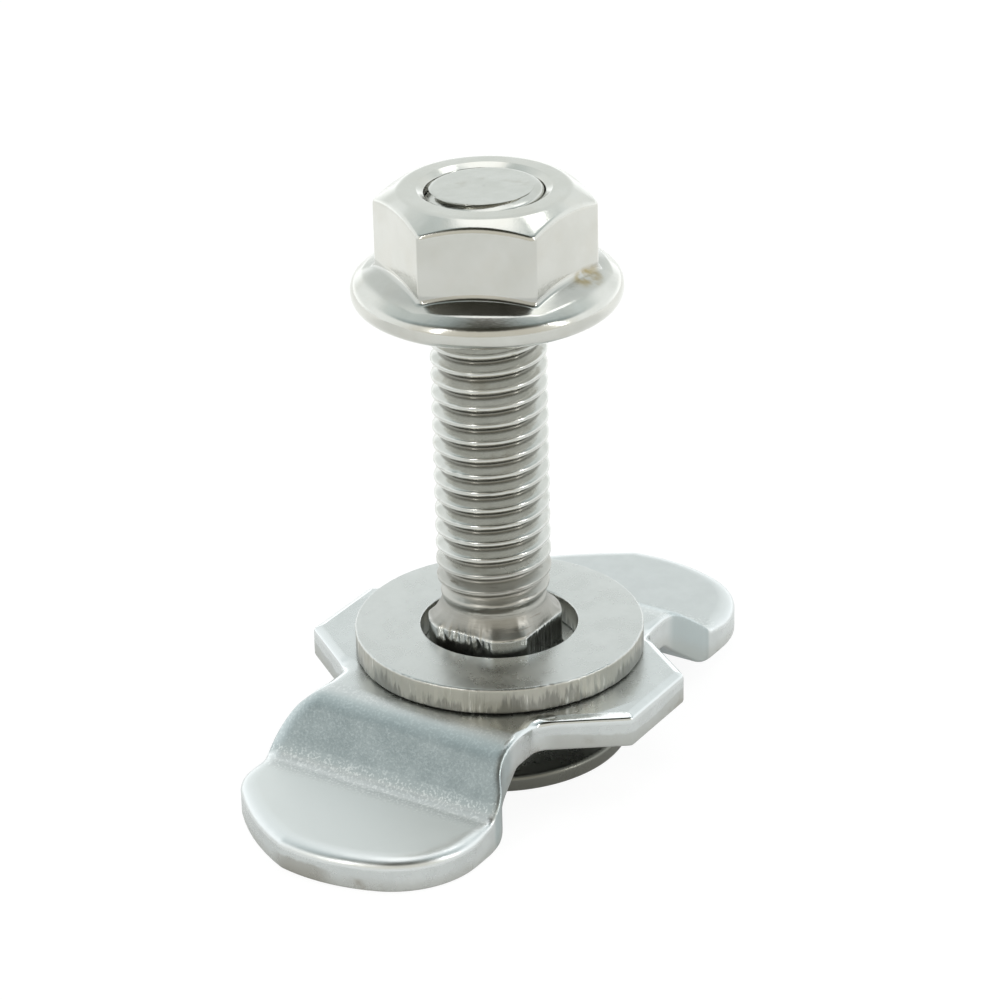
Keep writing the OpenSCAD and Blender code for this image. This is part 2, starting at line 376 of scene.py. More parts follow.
# %% Node group for drawn lines
def vector_math(tree, operation, a, b=None):
    """A vector math node on sockets or fixed vectors; returns its result."""
    node = add(tree, "ShaderNodeVectorMath", operation=operation)
    feed(tree, node.inputs[0], a)
    feed(tree, node.inputs[1], b)
    return node.outputs["Value" if operation == "LENGTH" else "Vector"]


line_group, ends_in, ends_out = new_group(
    "drawn_lines",
    [("Vector", VECTOR, None), ("Across", VECTOR, (1.0, 1.0, 1.0)), ("Scale", NUMBER, 1000.0)],
    [("Height", NUMBER), ("Scratch", NUMBER)])
squeezed = vector_math(line_group, "MULTIPLY", ends_in.outputs["Vector"], ends_in.outputs["Across"])
lines = noise_texture(line_group, squeezed, ends_in.outputs["Scale"], 3.0, 0.65)
line_group.links.new(lines, ends_out.inputs["Height"])
line_group.links.new(map_range(line_group, lines, 0.60, 0.72), ends_out.inputs["Scratch"])
print("drawn_lines has", len(line_group.nodes), "nodes")

# %% Node group for stains
stain_group, ends_in, ends_out = new_group(
    "dull_stains", [("Vector", VECTOR, None), ("Scale", NUMBER, 200.0), ("Spread", NUMBER, 0.5)],
    [("Stain", NUMBER)])
patches = noise_texture(stain_group, ends_in.outputs["Vector"], ends_in.outputs["Scale"], 5.0, 0.6)
edge = math_node(stain_group, "SUBTRACT", 1.0, ends_in.outputs["Spread"])
above = math_node(stain_group, "SUBTRACT", patches, edge)
stain_group.links.new(map_range(stain_group, above, 0.0, 0.2), ends_out.inputs["Stain"])
print("dull_stains has", len(stain_group.nodes), "nodes")

# %% [markdown]
# ## Plated steel
# Every piece is the same plated steel with its own history. One function sets up a material with its
# shader and its object coordinates, and each piece adds the groups that it needs. Metallic is 1
# everywhere, and only the colour, the roughness and the normal vary.

# %% Material of plated steel
def use_group(tree, group, vector, **values):
    """Places a node group in a material, fed by a vector socket."""
    node = add(tree, "ShaderNodeGroup", node_tree=group)
    tree.links.new(vector, node.inputs["Vector"])
    for name, value in values.items():
        node.inputs[name].default_value = value
    return node


def plated_steel(name):
    """A metal material; returns it with its tree, its shader and its object coordinates."""
    material = bpy.data.materials.new(name)
    material.use_nodes = True
    tree = material.node_tree
    shader = tree.nodes["Principled BSDF"]
    shader.inputs["Metallic"].default_value = 1.0
    return material, tree, shader, add(tree, "ShaderNodeTexCoord").outputs["Object"]


def bump(tree, shader, layers):
    """Stacks bumps of (height socket, strength, depth in mm) on the shader's normal."""
    normal = None
    for height_socket, strength, depth in layers:
        node = add(tree, "ShaderNodeBump", Strength=strength, Distance=depth * MM)
        tree.links.new(height_socket, node.inputs["Height"])
        if normal is not None:
            tree.links.new(normal, node.inputs["Normal"])
        normal = node.outputs["Normal"]
    tree.links.new(normal, shader.inputs["Normal"])


STAIN_CORE = 0.4


def placed_stain(tree, place, centre, reach, flatten):
    """Mask of one stain: 1 around a point, 0 past its reach, squeezed by the flatten factors."""
    away = vector_math(tree, "SUBTRACT", place, centre)
    far = vector_math(tree, "LENGTH", vector_math(tree, "MULTIPLY", away, flatten))
    return map_range(tree, far, reach, reach * STAIN_CORE)


def attribute(tree, name):
    """The value that a piece stores on its points under that name."""
    return add(tree, "ShaderNodeAttribute", attribute_name=name).outputs["Fac"]


print("plated steel is ready")

# %% [markdown]
# ## Mesh helpers
# Most of the pieces are swept shapes: a section turned about the stud, or a ring that changes as it
# rises. A Screw or Bevel modifier could do it, but with rings made in code the roundings are exact, and
# neighbouring pieces use the same named sizes. `rounded_path` rounds the corners of a section, `loft`
# joins rings with faces.

# %% Mesh helpers
def rounded_path(corners, steps=6):
    """Points along a path of (r, z, rounding) corners, each rounding drawn with that many steps."""
    points = [Vector(corners[0][:2])]
    for before, (r, z, rounding), after in zip(corners, corners[1:-1], corners[2:]):
        corner = Vector((r, z))
        back = (Vector(before[:2]) - corner).normalized()
        ahead = (Vector(after[:2]) - corner).normalized()
        half = back.angle(ahead) / 2
        reach = rounding / math.tan(half)
        middle = corner + (back + ahead).normalized() * (rounding / math.sin(half))
        start = corner + back * reach - middle
        turn = start.angle_signed(corner + ahead * reach - middle, 0.0) if rounding else 0.0
        for i in range(steps + 1):
            spot = start.copy()
            spot.rotate(Matrix.Rotation(-turn * i / steps, 2))
            points.append(middle + spot if rounding else corner)
    points.append(Vector(corners[-1][:2]))
    return points


def ring(r, z, angles):
    """A level ring of points; r and z are numbers or functions of the angle."""
    return [Vector(((r(a) if callable(r) else r) * math.cos(a), (r(a) if callable(r) else r) * math.sin(a),
                    z(a) if callable(z) else z)) for a in angles]


def whole_turn(count):
    """Evenly spaced angles over a whole turn."""
    return [2 * math.pi * i / count for i in range(count)]


def loft(rings, closed=False, caps=False):
    """Points and faces of rings joined one to the next, closed to a loop or capped at both ends."""
    count = len(rings[0])
    points = [p for one in rings for p in one]
    faces = []
    for k in range(len(rings) if closed else len(rings) - 1):
        low, high = k * count, (k + 1) % len(rings) * count
        faces += [(low + i, low + (i + 1) % count, high + (i + 1) % count, high + i) for i in range(count)]
    if caps:
        for start, order in ((0, -1), ((len(rings) - 1) * count, 1)):
            points.append(sum((p for p in points[start:start + count]), Vector((0, 0, 0))) / count)
            faces += [(start + i, start + (i + 1) % count, len(points) - 1)[::order] for i in range(count)]
    return points, faces


SEAM = 0.002
STEEP = math.radians(60)
FLAT_WEIGHT = 80


def piece(name, points, faces, material, values=None):
    """A smooth mesh object from points in millimetres, with values stored on its points."""
    mesh = bpy.data.meshes.new(name)
    mesh.from_pydata([Vector(p) * MM for p in points], [], faces)
    for key, numbers in (values or {}).items():
        mesh.attributes.new(key, "FLOAT", "POINT").data.foreach_set("value", numbers)
    shell = bmesh.new()
    shell.from_mesh(mesh)
    bmesh.ops.remove_doubles(shell, verts=shell.verts, dist=SEAM * MM)
    bmesh.ops.recalc_face_normals(shell, faces=shell.faces)
    open_edges = sum(not e.is_manifold for e in shell.edges)
    shell.to_mesh(mesh)
    shell.free()
    mesh.shade_smooth()
    mesh.set_sharp_from_angle(angle=STEEP)
    mesh.materials.append(material)
    thing = bpy.data.objects.new(name, mesh)
    bpy.context.scene.collection.objects.link(thing)
    flats = thing.modifiers.new("flat_faces", "WEIGHTED_NORMAL")
    flats.weight = FLAT_WEIGHT
    flats.keep_sharp = True
    print(name, "has", len(mesh.polygons), "faces and", open_edges, "open edges")
    return thing


def hand_over(thing, body, node=None):
    """The piece rides on its body and, given a CAD node, stands for it and hides it."""
    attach(thing, body)
    if node:
        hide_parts(node)


# %% [markdown]
# ## The locking plate
# The plate was blanked from sheet and pressed: two ears with straight cut sides, two tabs that are
# joggled down to the level of the head. The punch pulled its upper edges round, most of all on the
# tabs. A solid with a Bevel modifier gives the same rounding everywhere. Here the outline is a loop of
# points, each with its own edge radius, and loops that step inwards and down follow that radius. The
# flat top and bottom are filled between the loops and the keyed hole.

# %% Plate outline
plate_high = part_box("locking_plate")[1] / MM
PLATE_T = 2.4
TIP_X = plate_high.x
EAR_Y = plate_high.y
PLATE_TOP = plate_high.z
EAR_LEN = 7.0
EAR_ANGLE = math.radians(54)
ROUND_HALF = 8.85
CUT_HALF = 9.15
WAIST_HALF = 7.8
TIP_R = 13.0
TIP_LAND = 2.5
CUT_AT = 2.3
CUT_ANGLE = math.radians(68)
CUT_BOW = 17.0
CUT_R = 4.0
TAB_SIDE = 2.5
TAB_FILLET = 2.0
NEAR_CUT_HALF = 9.45
NEAR_CUT_FILLET = 4.5
FAR_FILLET = 4.5
FAR_CUT_ANGLE = math.radians(60)
FAR_CUT_BOW = 40.0
FAR_CUT_R = 2.0
EAR_FILLET = 1.5
EAR_CORNER = 0.35
ARC_STEP = math.radians(4)


def polar(centre, radius, angle):
    """A point at that distance and angle from a centre."""
    return centre + radius * Vector((math.cos(angle), math.sin(angle)))


def arc(centre, radius, start, end):
    """Points along an arc, both ends included."""
    count = max(2, math.ceil(abs(end - start) / ARC_STEP))
    return [polar(centre, radius, start + (end - start) * i / count) for i in range(count + 1)]


TIP = Vector((TIP_X - TIP_R, 0))
CORNER_R = ROUND_HALF - TIP_LAND
CORNER = Vector((TIP.x + math.sqrt((TIP_R - CORNER_R) ** 2 - TIP_LAND ** 2), TIP_LAND))
TAB_START = CORNER.x - TAB_SIDE


def side_to_ear(half, fillet):
    """From the straight side of a tab over the waist to the end of the ear."""
    rise = 2 * fillet - half + WAIST_HALF
    run = math.sqrt((2 * fillet) ** 2 - rise ** 2)
    shoulder = Vector((TAB_START, half - fillet))
    touch = math.atan2(rise, -run)
    ear_run = (EAR_Y - WAIST_HALF) / math.tan(EAR_ANGLE)
    hollow_x = EAR_LEN / 2 + ear_run + EAR_FILLET * math.tan(EAR_ANGLE / 2)
    hollow = Vector((hollow_x, WAIST_HALF + EAR_FILLET))
    below = 1.5 * math.pi
    corner_x = EAR_LEN / 2 - EAR_CORNER * math.tan(EAR_ANGLE / 2)
    ear_corner = Vector((corner_x, EAR_Y - EAR_CORNER))
    return (arc(shoulder, fillet, math.pi / 2, touch)
            + arc(shoulder + Vector((-run, rise)), fillet, touch + math.pi, below)
            + arc(hollow, EAR_FILLET, below, below - EAR_ANGLE)
            + arc(ear_corner, EAR_CORNER, math.pi / 2 - EAR_ANGLE, math.pi / 2))


def plate_half(fillet, cut_fillet, cut_half, cut_angle, cut_bow, cut_r):
    """One end of the plate, from the ear on its round side over the tip to the ear on its cut side."""
    tip_angle = math.atan2(TIP_LAND, CORNER.x - TIP.x)
    rounded = (arc(TIP, TIP_R, 0, tip_angle) + arc(CORNER, CORNER_R, tip_angle, math.pi / 2)
               + side_to_ear(ROUND_HALF, fillet))
    cut_point = polar(TIP, TIP_R, math.asin(CUT_AT / TIP_R))
    cut_middle = polar(cut_point, -cut_bow, math.pi / 2 - cut_angle)
    cut_end = math.asin((cut_half - cut_r - cut_middle.y) / (cut_bow - cut_r))
    cut_corner = polar(cut_middle, cut_bow - cut_r, cut_end)
    cut = (arc(TIP, TIP_R, 0, math.asin(CUT_AT / TIP_R))
           + arc(cut_middle, cut_bow, math.pi / 2 - cut_angle, cut_end)
           + arc(cut_corner, cut_r, cut_end, math.pi / 2) + side_to_ear(cut_half, cut_fillet))
    return [Vector((p.x, -p.y)) for p in reversed(rounded)] + cut


def plate_outline():
    """The closed outline, anticlockwise; as in the photo, the waist is softer at two of its corners."""
    far = plate_half(FAR_FILLET, TAB_FILLET, CUT_HALF, FAR_CUT_ANGLE, FAR_CUT_BOW, FAR_CUT_R)
    near = plate_half(TAB_FILLET, NEAR_CUT_FILLET, NEAR_CUT_HALF, CUT_ANGLE, CUT_BOW, CUT_R)
    return far + [Vector((-p.x, p.y)) for p in reversed(near)]


def even_loop(points, spacing):
    """A closed loop with evenly spaced points along it."""
    sides = list(zip(points, points[1:] + points[:1]))
    lengths = [(b - a).length for a, b in sides]
    count = round(sum(lengths) / spacing)
    step = sum(lengths) / count
    loop = []
    walked = 0.0
    for (a, b), length in zip(sides, lengths):
        while len(loop) < count and len(loop) * step < walked + length - 1e-9:
            loop.append(a.lerp(b, (len(loop) * step - walked) / length))
        walked += length
    return loop


OUTLINE_SPACING = 0.2
outline = even_loop(plate_outline(), OUTLINE_SPACING)
print("plate outline of", len(outline), "points")

# %% [markdown]
# The joggle is a side view: a bend down, a slope and a bend back. Each face of the sheet follows its
# own arcs about the same two centres, so the sheet keeps its thickness on the slope. One function gives
# the height of a face at a distance from the middle. The far end was pressed down a little less, as the
# photograph shows.

# %% Joggle
JOGGLE_AT = 9.5
JOGGLE_ANGLE = math.radians(45)
BEND_IN = 1.0
BEND_OUT = BEND_IN + PLATE_T
DROP = PLATE_TOP - PLATE_T
SLOPE_LEN = (DROP - (BEND_IN + BEND_OUT) * (1 - math.cos(JOGGLE_ANGLE))) / math.sin(JOGGLE_ANGLE)
JOGGLE_END = JOGGLE_AT + (BEND_IN + BEND_OUT) * math.sin(JOGGLE_ANGLE) + SLOPE_LEN * math.cos(JOGGLE_ANGLE)
FAR_LIFT = 0.8


def blend_between(value, low, high):
    """0 below low, 1 above high, smooth in between."""
    share = min(1.0, max(0.0, (value - low) / (high - low)))
    return share * share * (3 - 2 * share)


def face_height(x, upper_r, lower_r):
    """Height of a face of the sheet above the floor; the far end is pressed down a little less."""
    if x > JOGGLE_AT:
        return bent_height(x, upper_r, lower_r) + FAR_LIFT * blend_between(x, JOGGLE_AT, JOGGLE_END)
    return bent_height(-x if x < 0 else x, upper_r, lower_r)


def bent_height(x, upper_r, lower_r):
    """Height of a face at a distance from the middle, from its radii about the two bends."""
    first = JOGGLE_AT + upper_r * math.sin(JOGGLE_ANGLE)
    last = JOGGLE_END - lower_r * math.sin(JOGGLE_ANGLE)
    upper_mid = PLATE_TOP - BEND_OUT
    lower_mid = PLATE_T + BEND_IN
    if x <= JOGGLE_AT:
        return upper_mid + upper_r
    if x <= first:
        return upper_mid + math.sqrt(upper_r ** 2 - (x - JOGGLE_AT) ** 2)
    if x >= JOGGLE_END:
        return lower_mid - lower_r
    if x >= last:
        return lower_mid - math.sqrt(lower_r ** 2 - (JOGGLE_END - x) ** 2)
    return upper_mid + upper_r * math.cos(JOGGLE_ANGLE) - (x - first) * math.tan(JOGGLE_ANGLE)


def top_height(x):
    """Height of the upper face."""
    return face_height(x, BEND_OUT, BEND_IN)


def under_height(x):
    """Height of the lower face."""
    return face_height(x, BEND_IN, BEND_OUT)


ROW_ANGLES = 9


def bend_rows(upper_r, lower_r):
    """Distances from the middle of the rows across both bends of a face."""
    turns = [math.sin(JOGGLE_ANGLE * i / ROW_ANGLES) for i in range(ROW_ANGLES + 1)]
    return [JOGGLE_AT + upper_r * turn for turn in turns] + [JOGGLE_END - lower_r * turn for turn in turns]


top_rows = bend_rows(BEND_OUT, BEND_IN)
under_rows = bend_rows(BEND_IN, BEND_OUT)
print("joggle from", JOGGLE_AT, "to", round(JOGGLE_END, 2), "mm, drop", round(DROP, 2), "mm")

# %% [markdown]
# Now the loops. On the tabs and at the waist the punch pulled the sheet down, so the upper edge is
# broad and round. On the ears it is a narrow bevel. A little noise along the loop keeps the edges from
# looking machined. Each point also stores how far down the wall it is, because the burnished upper part
# of a punched wall and its torn lower part look different.

# %% Plate mesh
TAB_EDGE = (1.25, 0.65)
EAR_EDGE = (0.62, 0.48)
EAR_BEVEL = ((1.0, 0.0), (0.97, 0.01), (0.75, 0.11), (0.50, 0.25),
             (0.25, 0.39), (0.10, 0.52), (0.03, 0.72), (0.0, 1.0))
SLOPE_EDGE = 0.45
UNDER_EDGE = (0.25, 0.25)
EDGE_STEPS = 7
WALL_STEPS = 8
EDGE_WAVE = 0.05
EASING_PASSES = 6
WAVE_SCALE = 0.4
WAVE_SEED = 3.0
EAR_WAIST_BLEND = 1.2
EAR_END_BLEND = (6.5, 9.0)
SLOPE_EDGE_START = (JOGGLE_AT - 3.5, JOGGLE_AT)
SLOPE_EDGE_END = (JOGGLE_END - 0.5, JOGGLE_END + 2.0)


def on_ear(p):
    """1 along the ears, 0 along the tabs, with a soft change at the waist."""
    past_waist = blend_between(abs(p.y) - WAIST_HALF, 0.0, EAR_WAIST_BLEND)
    return past_waist * (1 - blend_between(abs(p.x), *EAR_END_BLEND))


def rolled_edge(p):
    """Width and depth of the rolled-over upper edge at a point of the outline."""
    wave = 1 + EDGE_WAVE * noise.noise(Vector((p.x * WAVE_SCALE, p.y * WAVE_SCALE, WAVE_SEED)))
    if p.y < 0:
        on_slope = blend_between(abs(p.x), *SLOPE_EDGE_START)
        on_slope *= 1 - blend_between(abs(p.x), *SLOPE_EDGE_END)
        wave *= 1 - (1 - SLOPE_EDGE) * on_slope
    return [(tab + (ear - tab) * on_ear(p)) * wave for tab, ear in zip(TAB_EDGE, EAR_EDGE)]


def inward(loop):
    """Unit normals of a loop, pointing into the material and turning gradually past its corners."""
    normals = []
    for before, after in zip(loop[-1:] + loop[:-1], loop[1:] + loop[:1]):
        along = (after - before).normalized()
        normals.append(Vector((-along.y, along.x)))
    for _ in range(EASING_PASSES):
        threes = zip(normals[-1:] + normals[:-1], normals, normals[1:] + normals[:1])
        normals = [(before + here + after).normalized() for before, here, after in threes]
    return normals


def round_step(step):
    """Inset and drop, as shares, of one step over a round edge from the face to the wall."""
    angle = math.pi / 2 * (1 - step / EDGE_STEPS)
    return Vector((1 - math.cos(angle), 1 - math.sin(angle)))


def edge_loop(loop, normals, edges, shares, height_at, side):
    """One loop of an edge of (width, depth), with each point's shares of inset and drop."""
    made = []
    for p, n, (width, depth), (inset, drop) in zip(loop, normals, edges, shares):
        q = p + n * (width * inset)
        made.append(Vector((q.x, q.y, height_at(q.x) - side * depth * drop)))
    return made


def neck_radius(angle, flats, over_corners):
    """Radius of a square with round corners at an angle."""
    return min(flats / 2 / max(abs(math.cos(angle)), abs(math.sin(angle))), over_corners / 2)


NECK_AF = 8.0
NECK_D = 9.2
KEY_CLEAR = 0.2
HOLE_STEPS = 96


def hole_radius(angle):
    """Radius of the keyed hole at an angle."""
    return neck_radius(angle, NECK_AF + 2 * KEY_CLEAR, NECK_D + 2 * KEY_CLEAR)


hole = [p.to_2d() for p in ring(hole_radius, 0.0, whole_turn(HOLE_STEPS))]


def filled_face(rim, rows, height_at):
    """Points and triangles between a rim and the keyed hole, with straight rows across the bends."""
    flat = [p.to_2d() for p in rim]
    sides = list(zip(flat, flat[1:] + flat[:1]))
    edges = [(i, (i + 1) % len(rim)) for i in range(len(rim))]
    edges += [(len(rim) + i, len(rim) + (i + 1) % len(hole)) for i in range(len(hole))]
    flat += hole
    for x in [side * row for row in rows for side in (-1, 1)]:
        crossed = [(a, b) for a, b in sides if (a.x - x) * (b.x - x) < 0]
        ends = sorted(a.y + (b.y - a.y) * (x - a.x) / (b.x - a.x) for a, b in crossed)
        edges.append((len(flat), len(flat) + 1))
        flat += [Vector((x, ends[0] + ROW_END)), Vector((x, ends[-1] - ROW_END))]
    made = delaunay_2d_cdt(flat, edges, [], 1, 1e-7)
    points = [Vector((q.x, q.y, height_at(q.x))) for q in made[0]]
    inside = [f for f in made[2] if not in_hole(sum((points[i] for i in f), Vector((0, 0, 0))) / 3)]
    return points, inside


def in_hole(p):
    """True for a point inside the keyed hole."""
    return p.to_2d().length < hole_radius(math.atan2(p.y, p.x))


ROW_END = 0.02
upper_edges = [rolled_edge(p) for p in outline]
wall_normals = inward(outline)
ear_parts = [on_ear(p) for p in outline]
upper = []
for step in range(EDGE_STEPS + 1):
    shares = [round_step(step).lerp(Vector(EAR_BEVEL[step]), part) for part in ear_parts]
    upper.append(edge_loop(outline, wall_normals, upper_edges, shares, top_height, 1))
lower = []
for step in range(EDGE_STEPS + 1):
    shares = [round_step(EDGE_STEPS - step)] * len(outline)
    lower.append(edge_loop(outline, wall_normals, [UNDER_EDGE] * len(outline), shares, under_height, -1))
wall = [[a.lerp(b, i / WALL_STEPS) for a, b in zip(upper[-1], lower[0])] for i in range(1, WALL_STEPS)]
plate_points, plate_faces = loft(upper + wall + lower)
depths = [0.0] * len(upper) + [i / WALL_STEPS for i in range(1, WALL_STEPS)] + [1.0] * EDGE_STEPS + [0.0]
wall_depth = [depth for depth in depths for _ in outline]
ear_share = ear_parts * len(depths)
# share of each point on the upper rolled edge, used for its smoother polish and its painted highlight
burnish_and_highlight_edge = [min(1.0, i / 2) * (i <= EDGE_STEPS) for i in range(len(depths)) for _ in outline]
values = {"wall_depth": wall_depth, "ear_share": ear_share, "burnish_and_highlight_edge": burnish_and_highlight_edge}
patches = [filled_face(upper[0], top_rows, top_height), filled_face(lower[-1], under_rows, under_height),
           loft([[Vector((*p, z)) for p in hole] for z in (PLATE_TOP - PLATE_T, PLATE_TOP)])]
for points, faces in patches:
    plate_faces += [tuple(len(plate_points) + i for i in face) for face in faces]
    plate_points += points
    for numbers in values.values():
        numbers += [0.0] * len(points)
print("plate has", len(plate_points), "points before its seams are joined")

# %% [markdown]
# The sheet was bright rolled, pressed and tumbled with the rest. Its faces are evenly fine-grained, the
# slope of the joggle is duller and speckled, and the press tools roughened the two bends, which glitter
# as a band of flecks. The ears' walls are burnished above and torn below, with a wavy line between; the
# tabs are calm and their walls smooth with brown traces near the floor. The upper rolled edges are
# smoother and painted lighter as a painted highlight, and the near tab's faces are painted lighter as
# painted light. Masks on the distance from the middle, the stored wall depth and the stored edge share
# keep these apart.

# %% Plate finish and piece
def band(tree, value, start, full, fade, end):
    """1 between full and fade, falling to 0 at start and end; all in millimetres."""
    rise = map_range(tree, value, start * MM, full * MM)
    return times(tree, rise, map_range(tree, value, end * MM, fade * MM))


def layered(tree, colour, layers):
    """A colour with layers of (mask, share, tone) laid over it in turn."""
    for mask, share, tone in layers:
        colour = mix_colour(tree, times(tree, mask, share), colour, tone)
    return colour


def roughened(tree, cloud, low, high, layers):
    """Roughness from low to high with the cloud, changed by layers of (mask, amount)."""
    rough = map_range(tree, cloud, 0.0, 1.0, low, high, smooth=False)
    for mask, more in layers:
        rough = plus(tree, rough, times(tree, mask, more))
    return rough


def finish(tree, shader, colour, rough, bumps):
    """Feeds the shader its colour and its roughness and stacks the bumps on its normal."""
    tree.links.new(colour, shader.inputs["Base Color"])
    tree.links.new(rough, shader.inputs["Roughness"])
    bump(tree, shader, bumps)


PLATE_TONES = ((0.60, 0.62, 0.615), (0.65, 0.67, 0.665))
SMEAR_PLACE = Vector((-plate_high.x, 0.6, 0.6)) * MM
SMEAR_REACH = 3.0 * MM
SMEAR_FLATTEN = (0.5, 1.0, 1.0)
TAB_BLEND = (JOGGLE_END * MM, (JOGGLE_END + 1.0) * MM)
FLECK_SCALE = 5400.0
plate_steel, tree, shader, place = plated_steel("plate_steel")
grain = use_group(tree, grain_group, place, Scale=5200.0, Dents=0.15)
coarse = use_group(tree, grain_group, place, Scale=1700.0, Dents=0.6)
stains = use_group(tree, stain_group, place, Scale=420.0, Spread=0.44)
along = split_place(tree, place).outputs["X"]
from_middle = math_node(tree, "ABSOLUTE", along)
depth_down = attribute(tree, "wall_depth")
on_face = map_range(tree, depth_down, 0.10, 0.0)
slope_band = band(tree, from_middle, JOGGLE_AT + 0.6, JOGGLE_AT + 1.6, JOGGLE_END - 1.0, JOGGLE_END - 0.5)
low_bend = band(tree, from_middle, JOGGLE_END - 1.5, JOGGLE_END - 0.8, JOGGLE_END + 0.2, JOGGLE_END + 1.3)
top_bend = band(tree, from_middle, JOGGLE_AT - 0.2, JOGGLE_AT + 0.3, JOGGLE_AT + 0.7, JOGGLE_AT + 1.3)
bends = math_node(tree, "MAXIMUM", low_bend, times(tree, top_bend, 0.6))
# the upper rolled edges off the slope: smoother polish, less grain and a painted highlight
edges = times(tree, attribute(tree, "burnish_and_highlight_edge"), map_range(tree, slope_band, 1.0, 0.0))
# the near tab's faces, which are painted lighter as painted light
near_tab_painted_light = times(tree, map_range(tree, along, *(-edge for edge in TAB_BLEND)), on_face)
tabs = times(tree, map_range(tree, from_middle, *TAB_BLEND), on_face)
flecks = map_range(tree, noise_texture(tree, place, FLECK_SCALE, 2.0), 0.50, 0.64)
flecks = times(tree, flecks, on_face)
wavy_depth = plus(tree, depth_down, map_range(tree, coarse.outputs["Cloud"], 0.0, 1.0, -0.10, 0.10))
torn = times(tree, map_range(tree, wavy_depth, 0.42, 0.56), attribute(tree, "ear_share"))
low_wall = map_range(tree, wavy_depth, 0.45, 0.95)
smear = placed_stain(tree, place, SMEAR_PLACE, SMEAR_REACH, SMEAR_FLATTEN)
smear = times(tree, smear, map_range(tree, wavy_depth, 0.30, 0.50))
colour = layered(tree, mix_colour(tree, grain.outputs["Cloud"], *PLATE_TONES), [
    (slope_band, 0.7, (0.41, 0.47, 0.475)),
    # painted light: the near tab's faces are painted lighter than the rest of the sheet
    (near_tab_painted_light, 0.7, (0.77, 0.79, 0.78)),
    # painted highlight: the upper rolled edges are painted lighter
    (edges, 0.6, (0.74, 0.76, 0.76)),
    (times(tree, slope_band, flecks), 0.30, (0.75, 0.80, 0.80)),
    (times(tree, bends, flecks), 0.45, (0.95, 0.96, 0.95)),
    (low_wall, 0.35, (0.44, 0.43, 0.39)),
    (smear, 0.55, (0.30, 0.28, 0.24)),
    (times(tree, stains.outputs["Stain"], low_wall), 0.75, (0.30, 0.26, 0.21)),
    (torn, 0.45, (0.42, 0.42, 0.39)),
])
rough = roughened(tree, grain.outputs["Cloud"], 0.24, 0.31, [
    (slope_band, 0.06), (bends, 0.20), (torn, 0.16), (tabs, 0.22), (edges, -0.16)])
rough_spots = math_node(tree, "MAXIMUM", bends, times(tree, slope_band, 0.6))
rough_spots = math_node(tree, "MAXIMUM", times(tree, rough_spots, on_face), torn)
pitted = times(tree, grain.outputs["Height"], rough_spots)
off_edge = map_range(tree, edges, 1.0, 0.0, 0.15, 1.0)
off_tab = map_range(tree, tabs, 1.0, 0.0, 0.2, 1.0)
calm_grain = times(tree, grain.outputs["Height"], math_node(tree, "MINIMUM", off_edge, off_tab))
finish(tree, shader, colour, rough, [
    (calm_grain, 0.22, 0.02), (pitted, 0.5, 0.03), (coarse.outputs["Height"], 0.06, 0.05)])
locking_plate = piece("locking_plate_dressed", plate_points, plate_faces, plate_steel, values)
hand_over(locking_plate, "plate", "locking_plate")

# %% [markdown]
# ## The washer
# A blanked washer with crisp upper edges and a lower edge that the die rounded, so that a dark gap
# shows under it. Its top is satin; its rim keeps upright marks of the punch. A lathe section turned
# about its own axis gives the shape, and noise that changes quickly round the rim and slowly up it
# moves the points of the rim in and out.

# %% Washer
washer_low, washer_high = (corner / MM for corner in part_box("flat_washer"))
WASHER_X = (washer_low.x + washer_high.x) / 2
WASHER_R = (washer_high.x - washer_low.x) / 2
WASHER_HOLE_R = 5.45
WASHER_EDGE = 0.16
UNDER_ROUND = (0.6, 0.24)
HOLE_EDGE = 0.12
RIM_MARKS = 0.05
RIM_BASE = 0.4
RIM_NOISE = ((0.8, 3.0, 0.4, 0.0), (0.6, 0.7, 0.9, 20.0))
MARK_BLEND = (WASHER_R - 0.3, WASHER_R - 0.05)
RIM_STEPS = 10
UNDER_STEPS = 8
TURN_STEPS = 640


def turned(section, count=TURN_STEPS):
    """A closed section of (r, z) points turned about the axis."""
    return loft([ring(p.x, p.y, whole_turn(count)) for p in section[:-1]], closed=True)


def rim_mark(angle, z):
    """How far a punch mark reaches in, from noise of (strength, scale round, scale up, shift)."""
    across = Vector((math.cos(angle), math.sin(angle))) * WASHER_R
    depth = RIM_BASE
    for strength, round_scale, up_scale, shift in RIM_NOISE:
        spot = Vector((across.x * round_scale, across.y * round_scale, z * up_scale + shift))
        depth += noise.noise(spot) * strength
    return RIM_MARKS * max(0.0, depth)


middle_z = (washer_low.z + washer_high.z) / 2
under_wide, under_high = UNDER_ROUND
washer_section = rounded_path([
    (WASHER_HOLE_R, middle_z, 0), (WASHER_HOLE_R, washer_high.z, HOLE_EDGE),
    (WASHER_R, washer_high.z, WASHER_EDGE), (WASHER_R, washer_low.z + under_high, 0)])
rim_start = washer_section[-2]
rim_end = washer_section.pop()
washer_section += [rim_start.lerp(rim_end, i / RIM_STEPS) for i in range(1, RIM_STEPS)]
for i in range(UNDER_STEPS + 1):
    turn = math.pi / 2 * i / UNDER_STEPS
    under_r = WASHER_R - under_wide * (1 - math.cos(turn))
    washer_section.append(Vector((under_r, rim_end.y - under_high * math.sin(turn))))
under_start = tuple(washer_section[-1]) + (0,)
washer_section += rounded_path([
    under_start, (WASHER_HOLE_R, washer_low.z, HOLE_EDGE), (WASHER_HOLE_R, middle_z, 0)])[1:]
washer_points, washer_faces = turned(washer_section)
marked = []
for p in washer_points:
    outer = blend_between(p.to_2d().length, *MARK_BLEND)
    reach = outer * rim_mark(math.atan2(p.y, p.x), p.z)
    marked.append(p - Vector((p.x, p.y, 0)).normalized() * reach + Vector((WASHER_X, 0, 0)))

